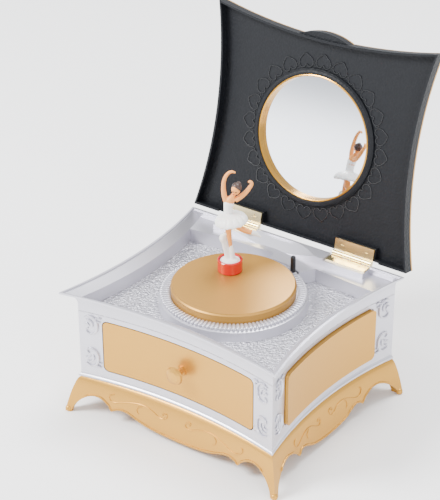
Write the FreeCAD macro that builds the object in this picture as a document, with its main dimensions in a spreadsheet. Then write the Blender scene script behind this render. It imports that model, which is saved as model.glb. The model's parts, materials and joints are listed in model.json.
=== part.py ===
import FreeCAD, Part
import math
import os
import Sketcher

# Wind-up music box: a silver box on a gilt stand with four flared feet, a
# mirror-lined lid on two brass hinges, a drawer, a fluted stage with a turning
# dancer, and an eighteen-note movement wound by a key under the box.
#
# X runs to the right, Y to the back and Z up, in millimetres. The pieces are
# drawn about the middle of the feet on the table. The written files have their
# origin on the table under the middle of the open box, middle_y further back.
# The lid stands open in the rest position; its pieces are described as if it
# were shut and are then turned on the hinge.

V = FreeCAD.Vector
X_AXIS = V(1, 0, 0)
Y_AXIS = V(0, 1, 0)
Z_AXIS = V(0, 0, 1)

doc = FreeCAD.newDocument("music_box")
sheet = doc.addObject("Spreadsheet::Sheet", "Dims")

DIMENSIONS = [
    # case outline at wall level
    ("wall_front_half", 64.5, "half width of the case at its front corners"),
    ("wall_back_half", 67.5, "half width of the case at its back corners"),
    ("wall_front_y", -54.1, "front corners of the case"),
    ("wall_back_y", 62.0, "flat back of the case"),
    ("front_hollow", 7.8, "how far the front curves in"),
    ("side_hollow", 7.5, "how far each side curves in"),
    ("wall_thick", 2.0, "wall of the silver moulding"),
    # heights of the case
    ("case_base_z", 22.3, "underside of the silver moulding"),
    ("flare_z", 69.1, "where the wall starts to flare out"),
    ("rim_z", 77.3, "top of the rim"),
    ("rim_lip", 1.0, "height of the rim's upright edge"),
    ("rim_front_half", 71.2, "half width of the rim at the front"),
    ("rim_back_half", 72.8, "half width of the rim at the back"),
    ("rim_front_y", -61.5, "front corners of the rim"),
    ("shelf_z", 72.9, "level of the rear shelf and of the tray's upper edge"),
    ("floor_z", 64.8, "tray floor"),
    ("floor_thick", 2.2, "thickness of the tray floor"),
    ("tray_wall", 1.2, "tray wall inside the outline"),
    # stage
    ("stage_y", 1.9, "centre of the stage"),
    ("stage_radius", 34.6, "gilt stage plate"),
    ("stage_top_z", 77.8, "top of the stage plate"),
    ("plate_thick", 1.6, "thickness of the stage plate"),
    ("plate_skirt_z", 71.2, "lower edge of the plate's skirt"),
    ("ring_outer", 39.5, "outer radius of the fluted ring"),
    ("collar_radius", 41.0, "outer radius of the collar under the ring"),
    ("ring_z", 72.1, "top of the fluted ring"),
    # drawer
    ("drawer_half", 50.0, "half width of the drawer front"),
    ("drawer_low_z", 29.7, "lower edge of the drawer front"),
    ("drawer_high_z", 61.0, "upper edge of the drawer front"),
    ("panel_corner", 2.8, "corner radius of the drawer front and the side panels"),
    ("panel_gap", 0.6, "gap round the drawer front and the side panels"),
    ("drawer_back_y", -8.0, "back of the drawer tray"),
    ("drawer_seat_y", -43.4, "flat back of the drawer front"),
    ("knob_z", 45.6, "axis of the drawer knob"),
    ("knob_radius", 5.3, "mushroom head of the knob"),
    # side panels
    ("side_centre_y", 4.0, "middle of a side panel"),
    ("side_half", 42.0, "half length of a side panel"),
    ("side_low_z", 30.0, "lower edge of a side panel"),
    ("side_high_z", 62.0, "upper edge of a side panel"),
    ("side_proud", 2.4, "how far a side panel stands out"),
    # stand
    ("foot_flare", 7.2, "how far the feet flare out at the table"),
    ("deck_thick", 2.0, "deck of the stand"),
    ("arch_z", 12.8, "top of the arches beside the feet"),
    ("cusp_z", 6.7, "points between arch and apron"),
    ("apron_z", 3.3, "lowest point of the apron"),
    # lid, described shut
    ("hinge_y", 63.25, "hinge axis"),
    ("hinge_z", 77.7, "hinge axis"),
    ("hinge_x", 38.2, "middle of each hinge"),
    ("hinge_length", 25.4, "length of each hinge"),
    ("knuckle_radius", 1.6, "outside of the hinge knuckles"),
    ("pin_radius", 0.8, "hinge pin"),
    ("leaf_thick", 0.8, "hinge leaf"),
    ("leaf_front_y", 55.0, "front edge of the hinge leaves"),
    ("open_angle", 101.2, "angle of the open lid"),
    ("middle_y", 17.8, "middle of the open box, from the middle of the feet"),
    ("lip_z", 77.6, "face of the liner's lip"),
    ("liner_floor_z", 82.6, "inner face of the liner"),
    ("liner_back_z", 84.0, "back of the liner, where the gilt shell starts"),
    ("shell_edge_z", 85.2, "upper end of the shell's upright edge"),
    ("shell_top_z", 88.8, "outer face of the shell"),
    ("bevel_in", 5.0, "width of the shell's bevel"),
    ("mirror_y", 3.4, "centre of both mirrors"),
    ("mirror_radius", 35.3, "inner mirror"),
    ("bezel_outer", 39.6, "outside of the black bezel"),
    ("bezel_z", 80.2, "face of the bezel"),
    ("outer_mirror", 36.2, "radius of the disc in the lid's outer face"),
    # dancer
    ("dancer_x", -9.6, "axis of the dancer and of the spring barrel"),
    ("dancer_y", 12.0, "axis of the dancer and of the spring barrel"),
    ("cup_radius", 7.0, "red cup"),
    ("cup_high", 7.1, "height of the cup"),
    ("puck_radius", 5.6, "white base of the figure"),
    # stop pin
    ("stop_x", 14.6, "stop pin"),
    ("stop_y", 38.8, "stop pin"),
    ("stop_top_z", 82.6, "top of the stop pin, lid open"),
    ("stop_radius", 1.5, "stop pin"),
    # movement
    ("bed_z", 27.5, "underside of the bedplate"),
    ("bed_thick", 2.5, "bedplate"),
    ("barrel_radius", 11.0, "spring barrel"),
    ("barrel_high", 10.0, "height of the spring barrel"),
    ("shaft_radius", 1.5, "drive shaft and winding arbor"),
    ("running_gap", 0.05, "radial clearance of a shaft in its hole"),
    ("crown_teeth", 48, "teeth on the barrel's crown"),
    ("crown_radius", 9.9, "middle of the crown's teeth"),
    ("drive_teeth", 16, "pinion driven by the crown"),
    ("cylinder_radius", 6.0, "pinned cylinder"),
    ("cylinder_long", 20.0, "pinned cylinder"),
    ("train_teeth", 60, "gear at the end of the cylinder"),
    ("train_module", 0.25, "module of the governor's gears"),
    ("governor_teeth", 12, "pinion of the governor"),
    ("worm_teeth", 24, "worm wheel"),
    ("worm_module", 0.3, "module of the worm wheel"),
    ("worm_radius", 1.2, "outside of the worm"),
]

for row, (alias, value, note) in enumerate(DIMENSIONS, 1):
    sheet.set(f"A{row}", note)
    sheet.set(f"B{row}", str(value))
    sheet.setAlias(f"B{row}", alias)
doc.recompute()


class Sizes:
    """Reads a driving dimension from the sheet by its name."""

    def __getattr__(self, alias):
        return float(sheet.get(alias))


d = Sizes()
TINY = 0.01
SHUT = FreeCAD.Placement()
HINGE_POINT = V(0, d.hinge_y, d.hinge_z)
OPEN = FreeCAD.Placement(V(0, 0, 0), FreeCAD.Rotation(X_AXIS, -d.open_angle), HINGE_POINT)
DANCER = V(d.dancer_x, d.dancer_y, 0)
STAGE = V(0, d.stage_y, 0)
STOP = V(d.stop_x, d.stop_y, 0)

NODES = []


def keep(shape_object, placement=None):
    """Lists a finished sub-part and gives it its place."""
    if placement is not None:
        shape_object.Placement = placement
    NODES.append(shape_object)
    return shape_object


def feature(label, shape, placement=SHUT):
    """A sub-part whose shape is worked out here."""
    item = doc.addObject("Part::Feature", label)
    item.Shape = shape.removeSplitter() if shape.ShapeType != "Compound" else shape
    return keep(item, placement.multiply(item.Placement))


# ---------------------------------------------------------------- helpers


def formula_value(formula):
    return float(sheet.evalExpression(formula))


def sketch_on(body, plane, name):
    origin_plane = [item for item in body.Origin.OriginFeatures if item.Role == plane][0]
    sketch = body.newObject("Sketcher::SketchObject", name)
    sketch.AttachmentSupport = [(origin_plane, "")]
    sketch.MapMode = "FlatFace"
    return sketch


def polygon(sketch, corners):
    """A closed outline whose corners are bound to the sheet."""
    values = [(formula_value(across), formula_value(up)) for across, up in corners]
    count = len(corners)
    for index in range(count):
        start = V(*values[index], 0)
        end = V(*values[(index + 1) % count], 0)
        sketch.addGeometry(Part.LineSegment(start, end))
    for index in range(count):
        sketch.addConstraint(Sketcher.Constraint("Coincident", index, 2, (index + 1) % count, 1))
    for index, corner in enumerate(corners):
        for axis in (0, 1):
            kind = ("DistanceX", "DistanceY")[axis]
            constraint = Sketcher.Constraint(kind, -1, 1, index, 1, values[index][axis])
            number = sketch.addConstraint(constraint)
            sketch.setExpression(f"Constraints[{number}]", corner[axis])


def circles(sketch, rings):
    """Concentric circles at the sketch's origin, bound to the sheet."""
    for radius in rings:
        circle = sketch.addGeometry(Part.Circle(V(0, 0, 0), Z_AXIS, formula_value(radius)))
        sketch.addConstraint(Sketcher.Constraint("Coincident", circle, 3, -1, 1))
        number = sketch.addConstraint(Sketcher.Constraint("Radius", circle, formula_value(radius)))
        sketch.setExpression(f"Constraints[{number}]", radius)


def turned(label, profile, placement, listed=True):
    """A turned piece: a profile of radius and height, revolved about its own Z."""
    body = doc.addObject("PartDesign::Body", label)
    sketch = sketch_on(body, "XZ_Plane", label + "_profile")
    polygon(sketch, profile)
    turn = body.newObject("PartDesign::Revolution", label + "_turn")
    turn.Profile = sketch
    turn.ReferenceAxis = (sketch, ["V_Axis"])
    turn.Angle = 360
    body.Tip = turn
    if listed:
        return keep(body, placement)
    body.Placement = placement
    return body


def disc(label, rings, height, placement):
    """A disc or washer padded from circles."""
    body = doc.addObject("PartDesign::Body", label)
    sketch = sketch_on(body, "XY_Plane", label + "_circles")
    circles(sketch, rings)
    pad = body.newObject("PartDesign::Pad", label + "_pad")
    pad.Profile = sketch
    pad.setExpression("Length", height)
    body.Tip = pad
    return keep(body, placement)


def primitive(kind, name, sizes, at=(0, 0, 0), rotation=FreeCAD.Rotation()):
    """A Part primitive with sizes and place bound to the sheet."""
    item = doc.addObject("Part::" + kind, name)
    item.Placement = FreeCAD.Placement(V(0, 0, 0), rotation)
    for size, formula in sizes.items():
        item.setExpression(size, formula)
    for axis, formula in zip("xyz", at):
        item.setExpression("Placement.Base." + axis, str(formula))
    return item


def joined(label, pieces):
    fuse = doc.addObject("Part::MultiFuse", label)
    fuse.Shapes = pieces
    return fuse


def carved(label, base, tool):
    cut = doc.addObject("Part::Cut", label)
    cut.Base = base
    cut.Tool = tool
    return cut


def rod(point, axis, radius, length):
    return Part.makeCylinder(radius, length, point, axis)


def tube(point, axis, outer, inner, length):
    return rod(point, axis, outer, length).cut(rod(point, axis, inner, length))


def block(low, high):
    """A box between two corners."""
    return Part.makeBox(high[0] - low[0], high[1] - low[1], high[2] - low[2], V(*low))


def at_height(point, z):
    return V(point.x, point.y, z)


def rounded_prism(half_width, low_z, high_z, radius, depth_axis, centre, depth):
    """A rounded rectangle standing upright, extruded both ways along X or Y."""
    size = (2 * half_width, high_z - low_z)
    if depth_axis == Y_AXIS:
        box = block((centre - half_width, -depth, low_z), (centre + half_width, depth, high_z))
    else:
        box = block((-depth, centre - half_width, low_z), (depth, centre + half_width, high_z))
    upright = []
    for edge in box.Edges:
        along = edge.tangentAt(edge.FirstParameter)
        if abs(along.dot(depth_axis)) > 0.9:
            upright.append(edge)
    return box.makeFillet(min(radius, min(size) / 2 - TINY), upright)


def outline(front_half, back_half, front_y, back_y, z, front_in=None, side_in=None):
    """The box's outline: hollow front and sides and a straight back."""
    front_in = d.front_hollow if front_in is None else front_in
    side_in = d.side_hollow if side_in is None else side_in
    front_left = V(-front_half, front_y, z)
    front_right = V(front_half, front_y, z)
    back_left = V(-back_half, back_y, z)
    back_right = V(back_half, back_y, z)
    middle_y = (front_y + back_y) / 2
    middle_half = (front_half + back_half) / 2 - side_in
    front = Part.Arc(front_left, V(0, front_y + front_in, z), front_right)
    right = Part.Arc(front_right, V(middle_half, middle_y, z), back_right)
    back = Part.LineSegment(back_right, back_left)
    left = Part.Arc(back_left, V(-middle_half, middle_y, z), front_left)
    return Part.Wire([curve.toShape() for curve in (front, right, back, left)])


def wall_outline(out, z, back_out=None):
    """The wall's outline moved out, or in where out is negative."""
    back_out = out if back_out is None else back_out
    halves = (d.wall_front_half + out, d.wall_back_half + out)
    return outline(*halves, d.wall_front_y - out, d.wall_back_y + back_out, z)


def rim_outline(out, z, back_out=None):
    back_out = out if back_out is None else back_out
    halves = (d.rim_front_half + out, d.rim_back_half + out)
    return outline(*halves, d.rim_front_y - out, d.wall_back_y + back_out, z)


def blend_outline(share, z):
    """An outline part of the way from the wall's to the rim's."""
    def mix(wall, rim):
        return wall + share * (rim - wall)
    front_half = mix(d.wall_front_half, d.rim_front_half)
    back_half = mix(d.wall_back_half, d.rim_back_half)
    return outline(front_half, back_half, mix(d.wall_front_y, d.rim_front_y), d.wall_back_y, z)


def prism(wire, height):
    return Part.Face(wire).extrude(V(0, 0, height))


def loft(wires, ruled=True):
    return Part.makeLoft(wires, True, ruled)


def stacked(stages):
    """A solid sewn from stages, each a run of outlines, one on top of another."""
    faces = []
    for wires, ruled in stages:
        faces.extend(Part.makeLoft(wires, False, ruled).Faces)
    faces.append(Part.Face(stages[0][0][0]))
    faces.append(Part.Face(stages[-1][0][-1]))
    shell = Part.Shell(faces)
    shell.sewShape()
    return Part.Solid(shell)


def front_wall_y(x):
    """Y of the outside of the front wall at x, on its arc."""
    radius = (d.wall_front_half ** 2 + d.front_hollow ** 2) / (2 * d.front_hollow)
    return d.wall_front_y + d.front_hollow - radius + math.sqrt(radius ** 2 - x ** 2)


# ---------------------------------------------------------------- silver case

FLARE_STEPS = 6
BEAD_PROFILE = [(0.6, 0.0), (1.0, 0.3), (1.2, 0.9), (1.0, 1.5), (0.4, 2.0), (0.0, 2.8)]
SHELF_FRONT_Y = 44.4
SHELF_MIDDLE_Y = 49.3
LEDGE_FRONT_Y = 53.2
LEDGE_HALF = 51.2
LEDGE_PAD_DROP = 1.2
COVE_LOW_RADIUS = 42.2
COVE_HIGH_RADIUS = 50.5
LIP_IN = 1.3
LIP_STEP = 0.8
POST_RADIUS = 3.0
SCREW_RADIUS = 1.1
POSTS = [(-55.5, -36.0), (55.5, -36.0), (-56.0, 50.0), (56.0, 50.0)]
POST_TOP_Z = 34.0
RIB_END_X = 64.0
LEAF_SCREW_Y = 58.1
LEAF_SCREWS = (-8.0, 8.0)
HINGE_ROOM = 0.6


def case_outside():
    """Bead round the foot of the wall, wall, flare and the rim's upright edge."""
    bead = [wall_outline(out, d.case_base_z + up, 0) for out, up in BEAD_PROFILE]
    flare = []
    for step in range(FLARE_STEPS + 1):
        turn = math.pi / 2 * step / FLARE_STEPS
        height = (d.rim_z - d.rim_lip - d.flare_z) * math.sin(turn)
        flare.append(blend_outline(1 - math.cos(turn), d.flare_z + height))
    rim = [flare[-1], rim_outline(0, d.rim_z)]
    return stacked([(bead, True), ([bead[-1], flare[0]], True), (flare, False), (rim, True)])


def tray_hollow():
    """The space inside the rim: lip step, funnel and upright tray walls."""
    funnel_top = d.rim_z - LIP_STEP
    lip = prism(rim_outline(-LIP_IN, funnel_top), LIP_STEP + 1)
    funnel = loft([wall_outline(-d.tray_wall, d.shelf_z), rim_outline(-LIP_IN - LIP_STEP, funnel_top)])
    well = prism(wall_outline(-d.tray_wall, d.floor_z), d.shelf_z - d.floor_z)
    return lip.fuse(funnel), well


def rear_shelf():
    """The raised shelf behind the stage, with a lobe forward round the stop pin."""
    edge = [
        (-70, SHELF_FRONT_Y), (-24, SHELF_MIDDLE_Y), (-6, SHELF_MIDDLE_Y), (-2, 38.0),
        (17.5, 38.0), (23.9, 47.8), (70, SHELF_FRONT_Y), (70, 70), (-70, 70), (-70, SHELF_FRONT_Y),
    ]
    wire = Part.makePolygon([V(x, y, d.floor_z) for x, y in edge])
    stage_room = rod(at_height(STAGE, d.floor_z - 1), Z_AXIS, d.collar_radius + 0.7, 20)
    return prism(wire, d.shelf_z - d.floor_z).cut(stage_room)


def rear_ledge():
    """The ledge at rim height that carries the hinges, coved round the stage."""
    top = d.rim_z
    ledge = block((-LEDGE_HALF, LEDGE_FRONT_Y, d.shelf_z), (LEDGE_HALF, d.wall_back_y, top))
    cove = Part.makeCone(COVE_LOW_RADIUS, COVE_HIGH_RADIUS, top - d.shelf_z + TINY,
                         at_height(DANCER, d.shelf_z))
    return ledge.cut(cove)


def case_inside():
    """The hollow under the tray, higher behind the shelf and the ledge."""
    under_floor = d.floor_z - d.floor_thick
    low = prism(wall_outline(-d.wall_thick, d.case_base_z), under_floor - d.case_base_z)
    under_shelf = block((-56, SHELF_MIDDLE_Y + 1.7, under_floor - 1),
                        (56, d.wall_back_y - d.wall_thick, d.shelf_z - 2.0))
    return low.fuse(under_shelf)


def make_case():
    upper, well = tray_hollow()
    ledge = rear_ledge()
    shelf = rear_shelf()
    shell = case_outside().cut(case_inside())
    shell = shell.cut(well.cut(shelf))
    shell = shell.cut(upper.cut(ledge))
    for side in (-1, 1):
        centre = side * d.hinge_x
        reach = d.hinge_length / 2 + HINGE_ROOM
        knuckle_room = block((centre - reach, d.hinge_y - d.knuckle_radius - 0.35, d.rim_z - 2.0),
                             (centre + reach, d.wall_back_y + 1, d.rim_z + 1))
        pad = block((centre - reach, LEDGE_FRONT_Y - 1, d.rim_z - LEDGE_PAD_DROP),
                    (centre + reach, d.wall_back_y + 1, d.rim_z + 1))
        shell = shell.cut(knuckle_room).cut(pad)
    gap = d.panel_gap
    opening = rounded_prism(d.drawer_half + gap, d.drawer_low_z - gap, d.drawer_high_z + gap,
                            d.panel_corner + gap, Y_AXIS, 0, 60)
    opening = opening.common(block((-60, -60, 0), (60, -30, 80)))
    shell = shell.cut(opening)
    window = rounded_prism(d.side_half + gap, d.side_low_z - gap, d.side_high_z + gap,
                           d.panel_corner + gap, X_AXIS, d.side_centre_y, 80)
    core = prism(wall_outline(-1.0, 0), 100)
    shell = shell.cut(window.cut(core))
    shell = shell.cut(rod(at_height(DANCER, 50), Z_AXIS, d.shaft_radius + d.running_gap, 20))
    shell = shell.cut(rod(at_height(STOP, 50), Z_AXIS, d.stop_radius + d.running_gap, 30))
    for x, y in POSTS:
        post = tube(V(x, y, d.case_base_z), Z_AXIS, POST_RADIUS, SCREW_RADIUS - 0.1,
                    POST_TOP_Z - d.case_base_z)
        rib_end = math.copysign(RIB_END_X, x)
        low_x, high_x = sorted((x + math.copysign(POST_RADIUS - 0.5, x), rib_end))
        rib = block((low_x, y - 0.8, d.case_base_z), (high_x, y + 0.8, POST_TOP_Z))
        rib = rib.common(prism(wall_outline(-1.1, 0), 100))
        shell = shell.fuse(post).fuse(rib)
    for side in (-1, 1):
        for offset in LEAF_SCREWS:
            hole = V(side * d.hinge_x + offset, LEAF_SCREW_Y, d.rim_z - 9)
            shell = shell.cut(rod(hole, Z_AXIS, SCREW_RADIUS - 0.05, 12))
    feature("case_shell", shell)


# ---------------------------------------------------------------- gilt stand

STAND_STEPS = 6
BACK_SHARE = 0.4
STAND_WALL = 2.0
RAIL_X = 45.0
RAIL_HALF = 1.2
SIDE_MIDDLE_Y = 2.6
TOE_RADIUS = 2.0
TOES = [(-70.2, -59.8), (70.2, -59.8), (-73.2, 63.2), (73.2, 63.2)]
TOE_FLAT = 0.6
FRONT_CUSP, FRONT_FOOT = 43.0, 68.2
SIDE_CUSP, SIDE_FOOT = 31.0, 59.6
BED_FEET = [(-19.5, 26.5), (33.0, 29.5), (10.0, 0.5)]
PIN_POST_TOP_Z = 51.0


def flare_at(z):
    """How far the stand has flared out at a height."""
    fall = 1 - z / d.case_base_z
    return d.foot_flare * fall ** 0.6


def stand_solid(inset):
    heights = [d.case_base_z * (1 - (step / STAND_STEPS) ** 1.6) for step in range(STAND_STEPS + 1)]
    wires = []
    for z in heights:
        out = flare_at(z) - inset
        wires.append(wall_outline(out, z, BACK_SHARE * flare_at(z) - inset))
    return loft(wires, ruled=False)


def spline(points):
    curve = Part.BSplineCurve()
    curve.interpolate([V(across, 0, up) for across, up in points])
    return curve.toShape()


def apron_cutter(cusp, foot):
    """The space under an apron: its scalloped edge drawn in XZ and run along Y."""
    rise = foot - cusp
    half_apron = [(cusp * 0.28, d.apron_z + 0.5), (cusp * 0.58, d.apron_z + 2.6),
                  (cusp * 0.84, d.cusp_z + 2.2), (cusp, d.cusp_z)]
    arch = [(cusp, d.cusp_z), (cusp + 0.16 * rise, d.arch_z - 2.2), (cusp + 0.46 * rise, d.arch_z),
            (cusp + 0.78 * rise, d.arch_z * 0.7), (cusp + 0.95 * rise, 3.6), (foot, -1)]
    mirrored = [[(-across, up) for across, up in reversed(run)] for run in (half_apron, arch)]
    apron = spline(mirrored[0] + [(0, d.apron_z)] + half_apron)
    floor = Part.makeLine(V(-foot, 0, -1), V(foot, 0, -1))
    edges = Part.__sortEdges__([apron, spline(arch), floor, spline(mirrored[1])])
    return Part.Face(Part.Wire(edges)).extrude(V(0, 60, 0))


def make_stand():
    skirt = stand_solid(0).cut(stand_solid(STAND_WALL))
    corners = stand_solid(0)
    front_cut = apron_cutter(FRONT_CUSP, FRONT_FOOT)
    front = front_cut.translated(V(0, -90, 0))
    back = front_cut.translated(V(0, 40, 0))
    side = apron_cutter(SIDE_CUSP, SIDE_FOOT).rotated(V(0, 0, 0), Z_AXIS, 90)
    right = side.translated(V(110, SIDE_MIDDLE_Y, 0))
    left = side.translated(V(-40, SIDE_MIDDLE_Y, 0))
    skirt = skirt.cut(front).cut(back).cut(right).cut(left)
    for x, y in TOES:
        toe = Part.makeSphere(TOE_RADIUS, V(x, y, TOE_RADIUS - TOE_FLAT))
        skirt = skirt.fuse(toe.common(block((x - 5, y - 5, 0), (x + 5, y + 5, 10))))
    deck = corners.common(block((-90, -90, d.case_base_z - d.deck_thick), (90, 90, d.case_base_z)))
    stand = skirt.fuse(deck)
    under_drawer = d.drawer_low_z + 1.0
    for x in (-RAIL_X, RAIL_X):
        rail = block((x - RAIL_HALF, d.drawer_seat_y + 1.0, d.case_base_z - TINY),
                     (x + RAIL_HALF, d.drawer_back_y + 2.0, under_drawer))
        stand = stand.fuse(rail)
    for x, y in BED_FEET:
        foot = tube(V(x, y, d.case_base_z - TINY), Z_AXIS, 3.0, SCREW_RADIUS + 0.1,
                    d.bed_z - d.case_base_z + TINY)
        stand = stand.fuse(foot)
        stand = stand.cut(rod(V(x, y, 0), Z_AXIS, SCREW_RADIUS + 0.1, 40))
    post = rod(at_height(STOP, d.case_base_z - TINY), Z_AXIS, 3.0, PIN_POST_TOP_Z - d.case_base_z)
    stand = stand.fuse(post)
    stand = stand.cut(rod(at_height(STOP, 34), Z_AXIS, d.stop_radius + d.running_gap, 40))
    for x, y in POSTS:
        stand = stand.cut(rod(V(x, y, 0), Z_AXIS, SCREW_RADIUS + 0.1, 30))
    stand = stand.cut(rod(at_height(DANCER, 0), Z_AXIS, d.shaft_radius + 0.6, 40))
    feature("stand", stand)


def pan_screw(point, length, head_radius=2.0, head_high=1.4):
    """A screw from below: head under the point, thread upward."""
    head = rod(point - V(0, 0, head_high), Z_AXIS, head_radius, head_high)
    slot = block((point.x - head_radius, point.y - 0.25, point.z - head_high),
                 (point.x + head_radius, point.y + 0.25, point.z - head_high + 0.5))
    return head.fuse(rod(point, Z_AXIS, SCREW_RADIUS - 0.1, length)).cut(slot)


def make_stand_screws():
    under = d.case_base_z - d.deck_thick
    screws = [pan_screw(V(x, y, under), 9.0) for x, y in POSTS]
    feature("stand_screws", Part.makeCompound(screws))


# ---------------------------------------------------------------- stage

def make_stage():
    top = "Dims.stage_top_z"
    low = "Dims.plate_skirt_z"
    under = "Dims.stage_top_z - Dims.plate_thick"
    turned("stage_plate", [
        ("0", under), ("Dims.stage_radius - 1.4", under), ("Dims.stage_radius - 1.4", low),
        ("Dims.stage_radius", low), ("Dims.stage_radius", top + " - 1.2"),
        ("Dims.stage_radius - 0.7", top + " - 0.5"), ("Dims.stage_radius - 0.9", top), ("0", top),
    ], FreeCAD.Placement(STAGE, FreeCAD.Rotation()))
    inner = "Dims.stage_radius + 0.3"
    ring = turned("stage_ring_turned", [
        ("Dims.stage_radius - 3", "Dims.floor_z"), ("Dims.collar_radius + 0.6", "Dims.floor_z"),
        ("Dims.collar_radius", "Dims.ring_z - 1.6"), ("Dims.ring_outer + 0.3", "Dims.ring_z - 1.1"),
        ("Dims.ring_outer", "Dims.ring_z - 0.3"), ("Dims.ring_outer - 0.5", "Dims.ring_z"),
        (inner, "Dims.ring_z"), (inner, low), ("Dims.stage_radius - 3", low),
    ], FreeCAD.Placement(STAGE, FreeCAD.Rotation()), listed=False)
    notch = primitive("Cylinder", "stage_ring_notch", {"Radius": "Dims.stop_radius + 0.3", "Height": "20"},
                      ("Dims.stop_x", "Dims.stop_y", "Dims.floor_z - 5"))
    keep(carved("stage_ring", ring, notch))


# ---------------------------------------------------------------- drawer

def drawer_front_strip():
    """Plan of the drawer front: hollow face and flat back."""
    half = d.drawer_half
    face = Part.Arc(V(-half, front_wall_y(half), 0), V(0, front_wall_y(0), 0),
                    V(half, front_wall_y(half), 0)).toShape()
    rest = Part.makePolygon([V(half, front_wall_y(half), 0), V(half, d.drawer_seat_y, 0),
                             V(-half, d.drawer_seat_y, 0), V(-half, front_wall_y(half), 0)])
    return prism(Part.Wire([face] + rest.Edges), 100)


def make_drawer():
    shape = rounded_prism(d.drawer_half, d.drawer_low_z, d.drawer_high_z, d.panel_corner, Y_AXIS, 0, 60)
    front = drawer_front_strip().common(shape)
    hole = rod(V(0, -60, d.knob_z), Y_AXIS, SCREW_RADIUS, 40)
    feature("drawer_front", front.cut(hole))

    low_z = d.drawer_low_z + 1.1
    high_z = d.drawer_high_z - 3.0
    half = d.drawer_half - 1.6
    wall = 1.6
    shell = block((-half, d.drawer_seat_y, low_z), (half, d.drawer_back_y, high_z))
    inside = block((-half + wall, d.drawer_seat_y + wall, low_z + wall),
                   (half - wall, d.drawer_back_y - wall, high_z + 1))
    feature("drawer_tray", shell.cut(inside).cut(hole))

    turned("drawer_knob", [
        ("0", "0"), ("3.1", "0"), ("3.1", "1.1"), ("2.0", "1.6"), ("1.9", "3.6"),
        ("Dims.knob_radius - 1.2", "4.6"), ("Dims.knob_radius", "5.9"),
        ("Dims.knob_radius - 0.5", "7.1"), ("Dims.knob_radius - 2.2", "7.9"), ("0", "8.3"),
    ], FreeCAD.Placement(V(0, front_wall_y(0) - 0.03, d.knob_z), FreeCAD.Rotation(X_AXIS, 90)))
    knob = NODES[-1]
    knob.setExpression("Placement.Base.z", "Dims.knob_z")

    seat = d.drawer_seat_y + wall
    head = primitive("Cylinder", "knob_screw_head", {"Radius": "2.4", "Height": "1.4"},
                     (0, seat, "Dims.knob_z"), FreeCAD.Rotation(X_AXIS, -90))
    stem = primitive("Cylinder", "knob_screw_stem", {"Radius": "1", "Height": str(seat - front_wall_y(0))},
                     (0, front_wall_y(0), "Dims.knob_z"), FreeCAD.Rotation(X_AXIS, -90))
    keep(joined("knob_screw", [head, stem]))


# ---------------------------------------------------------------- side panels

def make_side_panels():
    window = rounded_prism(d.side_half, d.side_low_z, d.side_high_z, d.panel_corner,
                           X_AXIS, d.side_centre_y, 80)
    skin = prism(wall_outline(d.side_proud, 0), 100).cut(prism(wall_outline(-0.9, 0), 100))
    both = window.common(skin)
    for label, low_x, high_x in (("side_panel_left", -80, 0), ("side_panel_right", 0, 80)):
        panel = both.common(block((low_x, -80, 0), (high_x, 80, 100)))
        feature(label, panel)


# ---------------------------------------------------------------- lid

TAB_HALF = 17.0
TAB_OUT = 3.9
LINER_WALL = 1.4
RING_WALL = 1.0
REAR_STEP_HALF = 55.0
REAR_STEP = 1.7
LID_LEAF_TOP_Z = 79.3


def thumb_tab(low_z, high_z):
    """The bowed thumb tab in the middle of the lid's front edge."""
    edge_y = d.rim_front_y + d.front_hollow
    arc = Part.Arc(V(-TAB_HALF, edge_y, low_z), V(0, edge_y - TAB_OUT, low_z), V(TAB_HALF, edge_y, low_z))
    back = Part.makePolygon([V(TAB_HALF, edge_y, low_z), V(TAB_HALF, edge_y + 3, low_z),
                             V(-TAB_HALF, edge_y + 3, low_z), V(-TAB_HALF, edge_y, low_z)])
    tab = prism(Part.Wire([arc.toShape()] + back.Edges), high_z - low_z)
    return tab


def make_lid():
    base = prism(rim_outline(0, d.liner_back_z), d.shell_edge_z - d.liner_back_z)
    bevel = loft([rim_outline(0, d.shell_edge_z), rim_outline(-d.bevel_in, d.shell_top_z)])
    shell = base.fuse(bevel).fuse(thumb_tab(d.liner_back_z, d.shell_edge_z))
    pocket = prism(rim_outline(-6.5, d.liner_back_z - 1), d.shell_top_z - 2.8 - d.liner_back_z + 1)
    recess = rod(V(0, d.mirror_y, d.shell_top_z - 1.0), Z_AXIS, d.outer_mirror + 0.3, 2)
    feature("lid_shell", shell.cut(pocket).cut(recess), OPEN)

    liner = prism(rim_outline(0, d.lip_z), d.liner_back_z - d.lip_z)
    hollow = prism(rim_outline(-LINER_WALL, d.lip_z - 1), d.liner_floor_z - d.lip_z + 1)
    pads = []
    for side in (-1, 1):
        centre = side * d.hinge_x
        half = d.hinge_length / 2 + HINGE_ROOM
        pads.append(block((centre - half, d.leaf_front_y - 0.6, LID_LEAF_TOP_Z),
                          (centre + half, d.wall_back_y - TINY, d.liner_floor_z + TINY)))
    liner = liner.cut(hollow).multiFuse(pads)
    liner = liner.fuse(thumb_tab(d.lip_z + 1.2, d.liner_back_z).cut(hollow))
    step = block((-REAR_STEP_HALF, d.wall_back_y - 4, d.lip_z - 1),
                 (REAR_STEP_HALF, d.wall_back_y + 1, d.lip_z + REAR_STEP))
    liner = liner.cut(step)
    for side in (-1, 1):
        centre = side * d.hinge_x
        half = d.hinge_length / 2 + HINGE_ROOM
        notch = block((centre - half, d.hinge_y - d.knuckle_radius - 0.35, d.lip_z - 1),
                      (centre + half, d.wall_back_y + 1, LID_LEAF_TOP_Z + 0.3))
        liner = liner.cut(notch)
        for offset in LEAF_SCREWS:
            hole = V(centre + offset, LEAF_SCREW_Y, LID_LEAF_TOP_Z - 1)
            liner = liner.cut(rod(hole, Z_AXIS, SCREW_RADIUS - 0.05, 5.5))
    window = rod(V(0, d.mirror_y, d.liner_floor_z - 1), Z_AXIS, d.mirror_radius + RING_WALL + 0.05, 4)
    feature("lid_liner", liner.cut(window), OPEN)


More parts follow.
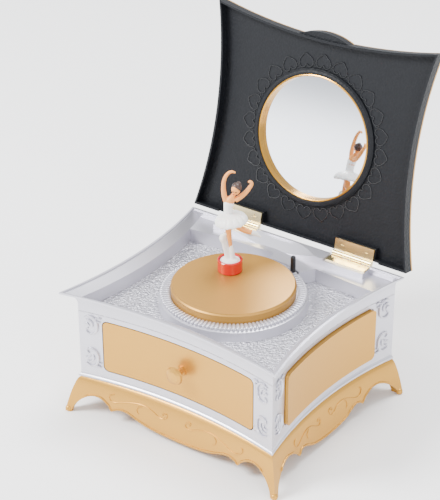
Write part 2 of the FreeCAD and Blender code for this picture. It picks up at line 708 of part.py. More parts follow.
def make_mirrors():
    def lid_place(z):
        return OPEN.multiply(FreeCAD.Placement(V(0, d.mirror_y, z), FreeCAD.Rotation()))

    floor, face = "Dims.liner_floor_z", "Dims.bezel_z"
    glass, outer = "Dims.mirror_radius", "Dims.bezel_outer"
    turned("mirror_bezel", [
        (glass + " + 1.1", floor), (outer, floor), (outer, face + " + 1.2"),
        (outer + " - 1", face + " + 0.3"),
        (outer + " - 2", face), (glass + " + 1.5", face), (glass + " + 1.1", face + " + 0.4"),
    ], lid_place(0))
    back = "Dims.liner_back_z"
    turned("mirror_ring", [
        (glass, back + " - 0.05"), (glass + f" + {RING_WALL}", back + " - 0.05"),
        (glass + f" + {RING_WALL}", face + " + 0.5"), (glass + " + 0.5", face + " + 0.3"),
        (glass, face + " + 0.5"),
    ], lid_place(0))
    disc("mirror_inner", [glass + f" + {RING_WALL - 0.1}"], "1.3", lid_place(d.liner_back_z))
    disc("mirror_outer", ["Dims.outer_mirror"], "0.8", lid_place(d.shell_top_z - 1.0))


# ---------------------------------------------------------------- hinges

KNUCKLES = 4


def hinge_leaf(centre, mine, leaf_low_z, open_side):
    """One leaf with its knuckles; mine says which knuckles are its own."""
    pitch = d.hinge_length / KNUCKLES
    start = centre - d.hinge_length / 2
    root_y = d.hinge_y - d.knuckle_radius - 0.25
    leaf = block((start, d.leaf_front_y, leaf_low_z),
                 (start + d.hinge_length, root_y, leaf_low_z + d.leaf_thick))
    for index in mine:
        low_x = start + index * pitch + 0.06
        long = pitch - 0.12
        barrel = rod(V(low_x, d.hinge_y, d.hinge_z), X_AXIS, d.knuckle_radius, long)
        tongue = block((low_x, root_y - TINY, leaf_low_z),
                       (low_x + long, d.hinge_y, leaf_low_z + d.leaf_thick))
        leaf = leaf.fuse(barrel.fuse(tongue))
    leaf = leaf.cut(rod(V(start - 1, d.hinge_y, d.hinge_z), X_AXIS, d.pin_radius + d.running_gap,
                        d.hinge_length + 2))
    for offset in LEAF_SCREWS:
        low = leaf_low_z - TINY
        wide, narrow = (1.9, 1.15) if open_side > 0 else (1.15, 1.9)
        sink = Part.makeCone(narrow, wide, d.leaf_thick + 2 * TINY, V(centre + offset, LEAF_SCREW_Y, low))
        leaf = leaf.cut(sink)
    return leaf


def leaf_screw(x, leaf_low_z, open_side):
    """A countersunk cross-head screw, flush with its leaf."""
    thick = d.leaf_thick
    wide, narrow = (1.85, 1.0) if open_side > 0 else (1.0, 1.85)
    head = Part.makeCone(narrow, wide, thick, V(x, LEAF_SCREW_Y, leaf_low_z))
    stem_low = leaf_low_z - 5.0 if open_side > 0 else leaf_low_z + thick
    stem_long = 5.0 if open_side > 0 else 4.0
    stem = rod(V(x, LEAF_SCREW_Y, stem_low), Z_AXIS, 1.0, stem_long)
    face_z = leaf_low_z + thick if open_side > 0 else leaf_low_z
    screw = head.fuse(stem)
    for across, along in ((1.2, 0.22), (0.22, 1.2)):
        slot = block((x - across, LEAF_SCREW_Y - along, face_z - 0.4),
                     (x + across, LEAF_SCREW_Y + along, face_z + 0.4))
        screw = screw.cut(slot)
    return screw


def make_hinges():
    body_leaf_z = d.hinge_z - d.knuckle_radius
    lid_leaf_z = LID_LEAF_TOP_Z - d.leaf_thick
    for name, side in (("left", -1), ("right", 1)):
        centre = side * d.hinge_x
        feature(f"hinge_case_leaf_{name}", hinge_leaf(centre, (0, 2), body_leaf_z, 1))
        feature(f"hinge_lid_leaf_{name}", hinge_leaf(centre, (1, 3), lid_leaf_z, -1), OPEN)
        pin = primitive("Cylinder", f"hinge_pin_{name}",
                        {"Radius": "Dims.pin_radius", "Height": "Dims.hinge_length"},
                        (f"{side} * Dims.hinge_x - Dims.hinge_length / 2", "Dims.hinge_y", "Dims.hinge_z"),
                        FreeCAD.Rotation(Y_AXIS, 90))
        keep(pin)
    spots = [side * d.hinge_x + offset for side in (-1, 1) for offset in LEAF_SCREWS]
    case_screws = [leaf_screw(x, body_leaf_z, 1) for x in spots]
    lid_screws = [leaf_screw(x, lid_leaf_z, -1) for x in spots]
    feature("hinge_screws_case", Part.makeCompound(case_screws))
    feature("hinge_screws_lid", Part.makeCompound(lid_screws), OPEN)


# ---------------------------------------------------------------- movement

BED_TOP_Z = d.bed_z + d.bed_thick
BARREL_Z = BED_TOP_Z + 1.0
CROWN_Z = BARREL_Z + d.barrel_high
CROWN_TOOTH_HIGH = 1.3
TRAIN_Z = CROWN_Z + 4.2
TRAIN_PITCH = d.train_module * (d.train_teeth + d.governor_teeth) / 2
GOVERNOR_Y = d.dancer_y + TRAIN_PITCH
CYLINDER_X = 4.2
GEAR_X = CYLINDER_X + d.cylinder_long + 0.8
CHEEK_X = GEAR_X + 1.8
FAR_CHEEK_X = CHEEK_X + 4.2
WHEEL_X = CHEEK_X + 1.6
WORM_WHEEL_RADIUS = d.worm_module * d.worm_teeth / 2
WORM_X = WHEEL_X + 0.7
WORM_Y = GOVERNOR_Y + WORM_WHEEL_RADIUS + 0.25 + d.worm_radius + 0.1
WORM_LOW_Z = TRAIN_Z - 8.0
WORM_HIGH_Z = TRAIN_Z + 7.0
FAN_Z = WORM_HIGH_Z + 0.9
FAN_HIGH = 3.4
ARBOR_RADIUS = 1.0
ROTOR_Z = 69.0
RATCHET_TEETH = 12
RATCHET_RADIUS = 4.4
CLICK_GAP = 0.06
CLICK_RIVET = V(RATCHET_RADIUS + CLICK_GAP + 1.2, 6.0, 0)
NOTES = 18
NOTE_PITCH = 1.05
COMB_SCREW_Y = 31.0
COMB_SCREWS = (8.0, 20.0)
CHEEK_THICK = 0.8
WORM_CORE = 0.6


def gear_wire(teeth, module, first_turn, tip=0.85, root=1.15, thick=0.40):
    """A toothed outline in the YZ plane; first_turn is where a tooth stands."""
    pitch_radius = module * teeth / 2
    points = []
    for number in range(int(teeth)):
        middle = first_turn + number * 2 * math.pi / teeth
        half = math.pi / teeth * thick * 2
        for radius, share in ((pitch_radius - root * module, -1.25), (pitch_radius + tip * module, -0.45),
                              (pitch_radius + tip * module, 0.45), (pitch_radius - root * module, 1.25)):
            turn = middle + share * half / 2
            points.append(V(0, radius * math.cos(turn), radius * math.sin(turn)))
    points.append(points[0])
    return Part.makePolygon(points)


def gear_x(teeth, module, point, width, first_turn):
    """A spur gear on an axis along X."""
    wire = gear_wire(teeth, module, first_turn)
    return Part.Face(wire).extrude(V(width, 0, 0)).translated(point)


def make_bedplate():
    plate = block((-23, -2.5, d.bed_z), (37, 33, BED_TOP_Z))
    plate = plate.cut(rod(at_height(DANCER, 0), Z_AXIS, d.shaft_radius + d.running_gap, 60))
    left = block((1.9, 8, BED_TOP_Z - TINY), (3.3, 16, TRAIN_Z + 3.5))
    near_cheek = block((CHEEK_X, 8, BED_TOP_Z - TINY), (CHEEK_X + CHEEK_THICK, WORM_Y + 2.5, TRAIN_Z + 4.0))
    rest = block((3.6, 28.6, BED_TOP_Z - TINY), (GEAR_X - 0.4, 33, TRAIN_Z))
    plate = plate.multiFuse([left, near_cheek, rest])
    for y in (d.dancer_y, GOVERNOR_Y):
        plate = plate.cut(rod(V(0, y, TRAIN_Z), X_AXIS, ARBOR_RADIUS + d.running_gap, 40))
    for x, y in BED_FEET:
        plate = plate.cut(rod(V(x, y, 20), Z_AXIS, SCREW_RADIUS - 0.05, 9.5))
    for x in COMB_SCREWS:
        plate = plate.cut(rod(V(x, COMB_SCREW_Y, TRAIN_Z - 5), Z_AXIS, 0.85, 10))
    plate = plate.cut(rod(at_height(DANCER + CLICK_RIVET, d.bed_z - 1), Z_AXIS, 1.1, 5))
    feature("movement_bedplate", plate)
    under = d.case_base_z - d.deck_thick
    screws = [pan_screw(V(x, y, under), d.bed_z + 1.6 - under) for x, y in BED_FEET]
    feature("movement_screws", Part.makeCompound(screws))


def make_barrel():
    place = FreeCAD.Placement(at_height(DANCER, 0), FreeCAD.Rotation())
    bore = "Dims.shaft_radius + Dims.running_gap"
    low, top = str(BARREL_Z), str(CROWN_Z)
    drum = turned("spring_drum", [
        (bore, low), ("Dims.barrel_radius", low), ("Dims.barrel_radius", top),
        ("Dims.barrel_radius - 2.2", top), ("Dims.barrel_radius - 2.2", top + " - 1.3"),
        ("Dims.barrel_radius - 0.9", top + " - 1.3"), ("Dims.barrel_radius - 0.9", low + " + 0.9"),
        (bore, low + " + 0.9"),
    ], place, listed=False)
    teeth = []
    for number in range(int(d.crown_teeth)):
        tooth = block((d.crown_radius - 0.85, -0.25, CROWN_Z - 0.1),
                      (d.crown_radius + 0.85, 0.25, CROWN_Z + CROWN_TOOTH_HIGH))
        teeth.append(tooth.rotated(V(0, 0, 0), Z_AXIS, (number + 0.5) * 360 / d.crown_teeth))
    crown = doc.addObject("Part::Feature", "crown_teeth_ring")
    crown.Shape = Part.makeCompound(teeth)
    crown.Placement = place
    keep(joined("spring_barrel", [drum, crown]))

    disc("barrel_cap", ["Dims.barrel_radius - 2.25"], "1.2",
         FreeCAD.Placement(at_height(DANCER, CROWN_Z - 1.25), FreeCAD.Rotation()))
    shaft_low = CROWN_Z - 0.05
    shaft = rod(at_height(DANCER, shaft_low), Z_AXIS, d.shaft_radius, ROTOR_Z - shaft_low)
    feature("drive_shaft", shaft)
    hub = primitive("Cylinder", "rotor_hub", {"Radius": "3", "Height": "1.8"},
                    ("Dims.dancer_x", "Dims.dancer_y", ROTOR_Z))
    plate = primitive("Cylinder", "rotor_disc", {"Radius": "8.5", "Height": "1.2"},
                      ("Dims.dancer_x", "Dims.dancer_y", ROTOR_Z + 0.6))
    keep(joined("magnet_rotor", [hub, plate]))
    on_rotor = FreeCAD.Placement(at_height(DANCER, ROTOR_Z + 1.8), FreeCAD.Rotation())
    disc("drive_magnet", ["5"], "2.4", on_rotor)


def spiral_spring(inner, outer, turns, thick, low_z, high_z):
    """A flat coiled spring as one strip."""
    steps = 20 * turns
    sides = []
    for offset in (0.0, thick):
        points = []
        for step in range(steps + 1):
            radius = inner + offset + (outer - inner) * step / steps
            turn = 2 * math.pi * turns * step / steps
            points.append(V(radius * math.cos(turn), radius * math.sin(turn), low_z))
        curve = Part.BSplineCurve()
        curve.interpolate(points)
        sides.append((curve.toShape(), points))
    caps = [Part.makeLine(sides[0][1][end], sides[1][1][end]) for end in (0, -1)]
    wire = Part.Wire(Part.__sortEdges__([sides[0][0], caps[1], sides[1][0], caps[0]]))
    return prism(wire, high_z - low_z)


def make_winding():
    spring = spiral_spring(1.7, 9.4, 7, 0.35, BARREL_Z + 1.2, CROWN_Z - 1.6)
    feature("mainspring", spring.translated(DANCER))
    arbor = rod(at_height(DANCER, 14), Z_AXIS, d.shaft_radius, CROWN_Z - 1.5 - 14)
    feature("winding_arbor", arbor)
    boss_low_z = 8.0
    boss_high_z = d.case_base_z - d.deck_thick - 0.5
    boss = rod(at_height(DANCER, boss_low_z), Z_AXIS, 3.0, boss_high_z - boss_low_z)
    wings = rod(V(d.dancer_x - 6.0, d.dancer_y - 0.9, 10), Y_AXIS, 5.2, 1.8)
    wings = wings.fuse(rod(V(d.dancer_x + 6.0, d.dancer_y - 0.9, 10), Y_AXIS, 5.2, 1.8))
    holes = rod(V(d.dancer_x - 6.8, d.dancer_y - 2, 9.6), Y_AXIS, 2.2, 4)
    holes = holes.fuse(rod(V(d.dancer_x + 6.8, d.dancer_y - 2, 9.6), Y_AXIS, 2.2, 4))
    key = boss.fuse(wings).cut(holes)
    key = key.cut(rod(at_height(DANCER, 14), Z_AXIS, d.shaft_radius, 20))
    feature("winding_key", key)


def make_ratchet():
    """Saw-toothed wheel on the arbor and the sprung click that holds it."""
    low_z = BED_TOP_Z + 0.15
    thick = 0.7
    points = []
    for number in range(RATCHET_TEETH):
        start = 2 * math.pi * number / RATCHET_TEETH
        points.append(V(RATCHET_RADIUS * math.cos(start), RATCHET_RADIUS * math.sin(start), low_z))
        root = RATCHET_RADIUS - 0.9
        points.append(V(root * math.cos(start + 0.03), root * math.sin(start + 0.03), low_z))
    wheel = prism(Part.makePolygon(points + points[:1]), thick).translated(DANCER)
    wheel = wheel.cut(rod(at_height(DANCER, low_z - 1), Z_AXIS, d.shaft_radius, 4))
    feature("ratchet_wheel", wheel)
    nose = RATCHET_RADIUS + CLICK_GAP
    corners = [(nose, 0.0), (nose + 1.2, -0.9), (nose + 1.8, 6.0), (nose + 0.6, 6.0), (nose + 0.5, 0.9)]
    wire = Part.makePolygon([V(x, y, low_z) for x, y in corners + corners[:1]])
    rivet = rod(at_height(CLICK_RIVET, BED_TOP_Z - 2.0), Z_AXIS, 1.05, low_z + thick - BED_TOP_Z + 2.0)
    feature("ratchet_click", prism(wire, thick).fuse(rivet).translated(DANCER))


def note_x(note):
    """Where a tooth of the comb and its pins stand along the cylinder."""
    return CYLINDER_X + 1.1 + note * NOTE_PITCH


def make_cylinder():
    axis_point = V(0, d.dancer_y, TRAIN_Z)
    pitch = 2 * math.pi * d.crown_radius / d.crown_teeth
    module = pitch / math.pi
    pinion_x = d.dancer_x + d.crown_radius - 0.7
    pinion = gear_x(d.drive_teeth, module, V(pinion_x, axis_point.y, axis_point.z), 1.4, -math.pi / 2)
    pinion = pinion.cut(rod(V(pinion_x - 1, axis_point.y, axis_point.z), X_AXIS, ARBOR_RADIUS, 4))
    feature("drive_pinion", pinion)

    drum = tube(V(CYLINDER_X, axis_point.y, axis_point.z), X_AXIS, d.cylinder_radius, d.cylinder_radius - 0.8,
                d.cylinder_long)
    for end in (CYLINDER_X, CYLINDER_X + d.cylinder_long - 1):
        drum = drum.fuse(tube(V(end, axis_point.y, axis_point.z), X_AXIS, d.cylinder_radius - 0.5,
                              ARBOR_RADIUS, 1))
    pins = []
    for note in range(NOTES):
        for beat in range(3):
            turn = math.radians((note * 67 + beat * 120) % 360 + 11)
            out = V(0, math.cos(turn), math.sin(turn))
            start = V(note_x(note), axis_point.y, axis_point.z) + out * (d.cylinder_radius - 0.4)
            pins.append(rod(start, out, 0.2, 0.9))
    feature("music_cylinder", drum.multiFuse(pins))

    arbor_low = pinion_x - 0.6
    feature("cylinder_arbor", rod(V(arbor_low, axis_point.y, axis_point.z), X_AXIS, ARBOR_RADIUS,
                                  CHEEK_X + CHEEK_THICK - arbor_low))
    gear = gear_x(d.train_teeth, d.train_module, V(GEAR_X, axis_point.y, axis_point.z), 1.0, 0.0)
    gear = gear.cut(rod(V(GEAR_X - 1, axis_point.y, axis_point.z), X_AXIS, ARBOR_RADIUS, 4))
    feature("cylinder_gear", gear)


def make_comb():
    tip_y = d.dancer_y + d.cylinder_radius + 0.75
    root_y = tip_y + 10.2
    teeth = []
    for note in range(NOTES):
        low_x, high_x = note_x(note) - 0.36, note_x(note) + 0.36
        tuned_y = root_y - (9.4 - note * 0.12) * 0.45
        teeth.append(block((low_x, tip_y, TRAIN_Z), (high_x, root_y, TRAIN_Z + 0.35)))
        teeth.append(block((low_x, tuned_y, TRAIN_Z), (high_x, root_y, TRAIN_Z + 0.8)))
    plate = block((CYLINDER_X, root_y - 0.2, TRAIN_Z), (CYLINDER_X + 19.8, 33, TRAIN_Z + 1.4))
    comb = plate.multiFuse(teeth)
    screws = []
    for x in COMB_SCREWS:
        comb = comb.cut(rod(V(x, COMB_SCREW_Y, TRAIN_Z - 5), Z_AXIS, 0.95, 10))
        stem = rod(V(x, COMB_SCREW_Y, TRAIN_Z - 4), Z_AXIS, 0.85, 5.5)
        head = rod(V(x, COMB_SCREW_Y, TRAIN_Z + 1.4), Z_AXIS, 1.6, 1.1)
        slot = block((x - 2, COMB_SCREW_Y - 0.2, TRAIN_Z + 2.1), (x + 2, COMB_SCREW_Y + 0.2, TRAIN_Z + 3))
        screws.append(stem.fuse(head).cut(slot))
    feature("music_comb", comb)
    feature("comb_screws", Part.makeCompound(screws))


def make_bracket():
    """The far cheek of the governor, its two arms for the worm and its foot."""
    near_y, far_y = GOVERNOR_Y - 2.5, WORM_Y + 2.5
    arm_x = CHEEK_X + CHEEK_THICK + 0.05
    cheek = block((FAR_CHEEK_X, near_y, BED_TOP_Z), (FAR_CHEEK_X + CHEEK_THICK, far_y, WORM_HIGH_Z + 0.7))
    arms = []
    for low_z, high_z in ((WORM_LOW_Z - 0.8, WORM_LOW_Z), (WORM_HIGH_Z, WORM_HIGH_Z + 0.7)):
        arms.append(block((arm_x, WORM_Y - 1.8, low_z), (FAR_CHEEK_X + TINY, WORM_Y + 2.2, high_z)))
    foot = block((FAR_CHEEK_X, near_y, BED_TOP_Z), (36.4, far_y, BED_TOP_Z + CHEEK_THICK))
    bracket = cheek.multiFuse(arms + [foot])
    bore = ARBOR_RADIUS + d.running_gap
    bracket = bracket.cut(rod(V(FAR_CHEEK_X - 1, GOVERNOR_Y, TRAIN_Z), X_AXIS, bore, 4))
    worm_bore = WORM_CORE + d.running_gap
    return bracket.cut(rod(V(WORM_X, WORM_Y, WORM_LOW_Z - 2), Z_AXIS, worm_bore, 30))


def make_governor():
    feature("governor_bracket", make_bracket())
    half_tooth = math.pi / d.governor_teeth
    pinion_point = V(GEAR_X - 0.2, GOVERNOR_Y, TRAIN_Z)
    pinion = gear_x(d.governor_teeth, d.train_module, pinion_point, 1.4, math.pi - half_tooth)
    arbor_low = GEAR_X - 0.5
    arbor_long = FAR_CHEEK_X + CHEEK_THICK - arbor_low
    arbor = rod(V(arbor_low, GOVERNOR_Y, TRAIN_Z), X_AXIS, ARBOR_RADIUS, arbor_long)
    feature("governor_arbor", arbor.fuse(pinion))
    wheel = gear_x(d.worm_teeth, d.worm_module, V(WHEEL_X, GOVERNOR_Y, TRAIN_Z), 1.4, 0.0)
    wheel = wheel.cut(rod(V(WHEEL_X - 1, GOVERNOR_Y, TRAIN_Z), X_AXIS, ARBOR_RADIUS, 4))
    feature("worm_wheel", wheel)

    core_low = WORM_LOW_Z - 0.6
    core = rod(V(WORM_X, WORM_Y, core_low), Z_AXIS, WORM_CORE, FAN_Z + FAN_HIGH - 0.4 - core_low)
    thread = rod(V(WORM_X, WORM_Y, TRAIN_Z - 3.4), Z_AXIS, d.worm_radius - 0.45, 6.8)
    rings = []
    lead = math.pi * d.worm_module
    root, crest = d.worm_radius - 0.5, d.worm_radius
    for turn in range(7):
        ring_z = TRAIN_Z + (turn - 3) * lead
        rings.append(Part.makeCone(root, crest, 0.2, V(WORM_X, WORM_Y, ring_z - 0.25)))
        rings.append(Part.makeCone(crest, root, 0.2, V(WORM_X, WORM_Y, ring_z - 0.05)))
    feature("worm", core.multiFuse([thread] + rings))
    hub = tube(V(WORM_X, WORM_Y, FAN_Z), Z_AXIS, 1.3, WORM_CORE, FAN_HIGH)
    blades = block((WORM_X - 3.6, WORM_Y - 0.2, FAN_Z), (WORM_X + 3.6, WORM_Y + 0.2, FAN_Z + FAN_HIGH))
    fan = hub.fuse(blades).cut(rod(V(WORM_X, WORM_Y, FAN_Z - 1), Z_AXIS, WORM_CORE, 10))
    feature("air_brake", fan)


# ---------------------------------------------------------------- stop pin

ARM_Z = 60.4
ARM_THICK = 1.4


def make_stop():
    low_z = 45.0
    pin = rod(at_height(STOP, low_z), Z_AXIS, d.stop_radius, d.stop_top_z - 1.5 - low_z)
    tip = Part.makeSphere(d.stop_radius, at_height(STOP, d.stop_top_z - 1.5))
    feature("stop_pin", pin.fuse(tip))
    reach = V(WORM_X, WORM_Y, 0) - STOP
    length = reach.Length - 1.0
    arm = block((0, -1.6, ARM_Z), (length, 1.6, ARM_Z + ARM_THICK))
    arm = arm.fuse(rod(V(0, 0, ARM_Z), Z_AXIS, 3.2, ARM_THICK))
    turn = math.degrees(math.atan2(reach.y, reach.x))
    arm = arm.rotated(V(0, 0, 0), Z_AXIS, turn).translated(STOP)
    arm = arm.cut(rod(at_height(STOP, ARM_Z - 1), Z_AXIS, d.stop_radius, 5))
    feature("brake_arm", arm)
    coils = 6
    height = ARM_Z - PIN_POST_TOP_Z - 0.8
    helix = Part.makeHelix(height / coils, height, 2.4)
    profile = Part.Wire([Part.Circle(V(2.4, 0, 0), Y_AXIS, 0.3).toShape()])
    coil = Part.Wire(helix).makePipeShell([profile], True, True)
    feature("stop_spring", coil.translated(at_height(STOP, PIN_POST_TOP_Z + 0.4)))


# ---------------------------------------------------------------- dancer

JOINT_SWELL = 0.12  # how far a limb's ball joint stands out of the limb


def limb(points, radii):
    """A limb as round cones joined by slightly larger balls."""
    pieces = [Part.makeSphere(radii[0] + JOINT_SWELL, points[0])]
    for index in range(len(points) - 1):
        along = points[index + 1] - points[index]
        pieces.append(Part.makeCone(radii[index], radii[index + 1], along.Length, points[index], along))
        pieces.append(Part.makeSphere(radii[index + 1] + JOINT_SWELL, points[index + 1]))
    return pieces


def make_dancer():
    base_z = d.stage_top_z + 0.1

    def standing(up):
        return FreeCAD.Placement(at_height(DANCER, base_z + up), FreeCAD.Rotation())

    outer, top = "Dims.cup_radius", "Dims.cup_high"
    turned("base_cup", [
        ("0", "0.8"), ("4.2", "0.8"), ("4.2", "0"), (outer + " - 0.3", "0"), (outer, "0.4"),
        (outer, top + " - 0.3"), (outer + " - 0.3", top), (outer + " - 1.1", top),
        (outer + " - 1.1", "1.8"), ("0", "1.8"),
    ], standing(0))
    disc("base_magnet", ["4.6"], "2.0", standing(2.0))
    disc("figure_base", ["Dims.puck_radius"], "2.2", standing(4.1))
    floor = base_z + 7.68

    def spot(right, back, up):
        return V(d.dancer_x + right, d.dancer_y + back, floor + up)

    standing_leg = limb([spot(0.3, 0, -0.25), spot(0.3, 0, 9), spot(0, 0, 21)], [1.0, 1.3, 1.9])
    spray = limb([spot(-1.8, -0.6, 0.2), spot(-2.2, -0.6, 7), spot(-0.6, 0, 15)], [1.4, 1.5, 1.2])
    raised_leg = limb([spot(0.5, 0.5, 21), spot(6.5, 5.0, 17.5), spot(11.0, 8.8, 15.5)], [2.0, 1.5, 1.0])
    skirt = Part.makeCone(9.2, 3.2, 5.5, spot(0, 0, 19.5)).fuse(Part.makeCone(6.0, 9.2, 2.5, spot(0, 0, 17)))
    skirt = skirt.rotated(spot(0, 0, 20), V(0.58, -0.81, 0), 12)
    waist = Part.makeCone(3.1, 2.6, 6.2, spot(0, 0, 24))
    chest = Part.makeCone(2.5, 3.4, 5.6, spot(0, 0, 30))
    neck = limb([spot(0.2, 0, 35), spot(0.6, -0.1, 39.5)], [2.4, 1.1])
    head = Part.makeSphere(3.0, spot(0.9, -0.2, 42.5))
    bun = Part.makeSphere(1.5, spot(2.2, 1.4, 45.5))
    arm_radii = [1.3, 1.2, 1.0, 0.8]
    left_arm = limb([spot(-2.6, -1.6, 35.5), spot(-4.2, -2.8, 43.0), spot(-2.6, -1.6, 50.5),
                     spot(0.8, 0.6, 53.2)], arm_radii)
    right_arm = limb([spot(2.6, 1.6, 35.0), spot(7.4, 5.0, 40.5), spot(8.0, 5.6, 46.8),
                      spot(6.4, 4.6, 48.6)], arm_radii)
    legs, arms = standing_leg + raised_leg, left_arm + right_arm
    pieces = legs + spray + [skirt, waist, chest, head, bun] + neck + arms
    feature("dancer_figure", pieces[0].multiFuse(pieces[1:]))


# ---------------------------------------------------------------- build

make_case()
make_stand()
make_stand_screws()
make_stage()
make_drawer()
make_side_panels()
make_lid()
make_mirrors()
make_hinges()
make_bedplate()
make_barrel()
make_winding()
make_ratchet()
make_cylinder()
make_comb()
make_governor()
make_stop()
make_dancer()
doc.recompute()

for item in doc.Objects:
    if "Invalid" in item.State or "Error" in item.State:
        raise RuntimeError(f"{item.Label} did not recompute: {item.State}")
for node in NODES:
    if node.Shape.isNull() or not node.Shape.isValid():
        raise RuntimeError(f"{node.Label} has no valid shape")

os.makedirs("parts", exist_ok=True)
for node in NODES:
    placed = node.Shape.translated(V(0, -d.middle_y, 0))
    placed.exportStep(f"parts/{node.Label}.step")
print(len(NODES), "sub-parts written")
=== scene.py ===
"""The wind-up music box: its finishes, its raised ornament and its dancer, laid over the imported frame."""

import json
import math

import bpy
from bpy.props import FloatProperty, FloatVectorProperty, IntProperty, PointerProperty
from mathutils import Matrix, Vector


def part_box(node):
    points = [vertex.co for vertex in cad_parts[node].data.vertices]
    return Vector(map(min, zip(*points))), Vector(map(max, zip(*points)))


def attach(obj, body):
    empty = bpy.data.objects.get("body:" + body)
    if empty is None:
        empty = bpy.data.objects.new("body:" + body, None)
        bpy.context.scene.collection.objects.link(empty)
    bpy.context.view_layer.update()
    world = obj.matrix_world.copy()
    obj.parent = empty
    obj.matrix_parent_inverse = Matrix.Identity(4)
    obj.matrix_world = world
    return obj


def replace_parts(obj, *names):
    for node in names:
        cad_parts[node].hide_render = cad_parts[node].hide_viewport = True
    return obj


bl_info = {
    "name": "Wind-up music box",
    "version": (1, 0, 0),
    "blender": (4, 5, 0),
    "location": "3D View > Sidebar > Music Box",
    "description": "Finishes, ornament and dancer of a wind-up music box",
    "category": "Object",
}

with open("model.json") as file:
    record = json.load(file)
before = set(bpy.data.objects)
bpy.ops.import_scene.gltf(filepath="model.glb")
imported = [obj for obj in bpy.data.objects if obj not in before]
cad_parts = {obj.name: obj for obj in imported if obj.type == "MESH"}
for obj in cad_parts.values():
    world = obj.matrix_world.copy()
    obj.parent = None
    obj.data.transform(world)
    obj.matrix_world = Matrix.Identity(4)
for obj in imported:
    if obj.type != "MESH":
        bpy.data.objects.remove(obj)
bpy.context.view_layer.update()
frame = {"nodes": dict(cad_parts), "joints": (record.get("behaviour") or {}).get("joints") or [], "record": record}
NODES = frame["nodes"]
JOINTS = {joint["name"]: joint for joint in frame["joints"]}
MM = 0.001
X_AXIS, Z_AXIS = Vector((1, 0, 0)), Vector((0, 0, 1))

CASE_FOOT_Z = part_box("case_shell")[0].z
STAND_LOW, STAND_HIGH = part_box("stand")
PLATE_LOW, PLATE_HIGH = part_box("stage_plate")
RING_LOW, RING_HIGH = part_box("stage_ring")
PUCK_LOW, PUCK_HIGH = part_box("figure_base")
STAGE_CENTRE = (PLATE_LOW + PLATE_HIGH) / 2
STAGE_RADIUS = (PLATE_HIGH.x - PLATE_LOW.x) / 2
DANCER_AXIS = (PUCK_LOW + PUCK_HIGH) / 2
TRAY_FLOOR_Z = RING_LOW.z


def colour(name, value, description):
    """A paint colour that a user may change."""
    return FloatVectorProperty(name=name, subtype="COLOR", size=3, min=0, max=1,
                               default=value, description=description)


def length(name, value, description):
    """A size that a user may change."""
    return FloatProperty(name=name, unit="LENGTH", subtype="DISTANCE", precision=4,
                         default=value, description=description)


class FinishColours(bpy.types.PropertyGroup):
    """Colours of the box's finishes."""

    silver: colour("Silver", (0.66, 0.65, 0.71), "Silver paint of the case and the stage ring")
    gilt: colour("Gilt", (0.61, 0.312, 0.047), "Gilt paint of the stand, lid, drawer and side panels")
    stage_gilt: colour("Stage gilt", (0.50, 0.256, 0.046), "Deeper spun gilt of the stage")
    charcoal: colour("Charcoal", (0.0045, 0.0052, 0.0070), "Grained liner of the lid")
    mirror: colour("Mirror", (0.86, 0.89, 0.95), "Both mirrors")
    brass: colour("Brass", (0.84, 0.70, 0.38), "Hinges and gears")
    steel: colour("Steel", (0.56, 0.57, 0.59), "Screws, key and movement")
    red: colour("Red", (0.56, 0.002, 0.003), "Cup that the dancer stands in")
    white: colour("White", (0.93, 0.91, 0.86), "Dress, shoes and base of the dancer")
    skin: colour("Skin", (0.90, 0.35, 0.075), "Skin of the dancer")
    hair: colour("Hair", (0.050, 0.026, 0.020), "Hair of the dancer")


class OrnamentSizes(bpy.types.PropertyGroup):
    """Sizes of the raised ornament."""

    flutes: IntProperty(name="Flutes", default=106, min=24, description="Flutes round the stage")
    hearts: IntProperty(name="Hearts", default=24, min=6,
                        description="Outlined hearts round the inner mirror")
    heart_radius: length("Heart ring", 44.2 * MM, "Radius of the ring of hearts about the mirror")
    heart_width: length("Heart strand", 0.42 * MM, "Radius of the strand that outlines a heart")
    scroll_raise: length("Scroll raise", 0.45 * MM, "How far a scroll's strand stands off the wall")
    flourish_width: length("Flourish width", 0.55 * MM, "Widest radius of the flourishes on the aprons")
    border_width: length("Border width", 0.55 * MM, "Radius of the raised border along the aprons")


class DancerSizes(bpy.types.PropertyGroup):
    """Sizes of the dancer."""

    facing: FloatProperty(name="Facing", subtype="ANGLE", default=math.radians(35.6),
                          description="How far the dancer is turned from the front, at rest")
    tutu_radius: length("Tutu", 9.2 * MM, "Radius of the tutu's hem")
    head_radius: length("Head", 2.6 * MM, "Radius of the head")


class StageSettings(bpy.types.PropertyGroup):
    """Camera and floor."""

    camera_place: FloatVectorProperty(name="Camera", subtype="TRANSLATION", size=3,
                                      default=(0.4497, -0.6458, 0.5255),
                                      description="Place of the camera")
    camera_turn: FloatProperty(name="Azimuth", subtype="ANGLE", default=math.radians(35.59),
                               description="Turn of the camera about the box")
    camera_tilt: FloatProperty(name="Elevation", subtype="ANGLE", default=math.radians(28.91),
                               description="How far the camera looks down")
    lens: FloatProperty(name="Lens", default=117.5, min=10,
                        description="Focal length in millimetres")
    shift: FloatProperty(name="Shift", default=-0.0238, description="Sideways shift of the lens")
    floor: colour("Floor", (0.97, 0.97, 0.97), "Floor and backdrop")


class MusicBoxSettings(bpy.types.PropertyGroup):
    """All the settings of the music box."""

    colours: PointerProperty(type=FinishColours)
    ornament: PointerProperty(type=OrnamentSizes)
    dancer: PointerProperty(type=DancerSizes)
    stage: PointerProperty(type=StageSettings)


def settings():
    """The music box's settings in this scene."""
    return bpy.context.scene.music_box


# ---------------------------------------------------------------- finishes


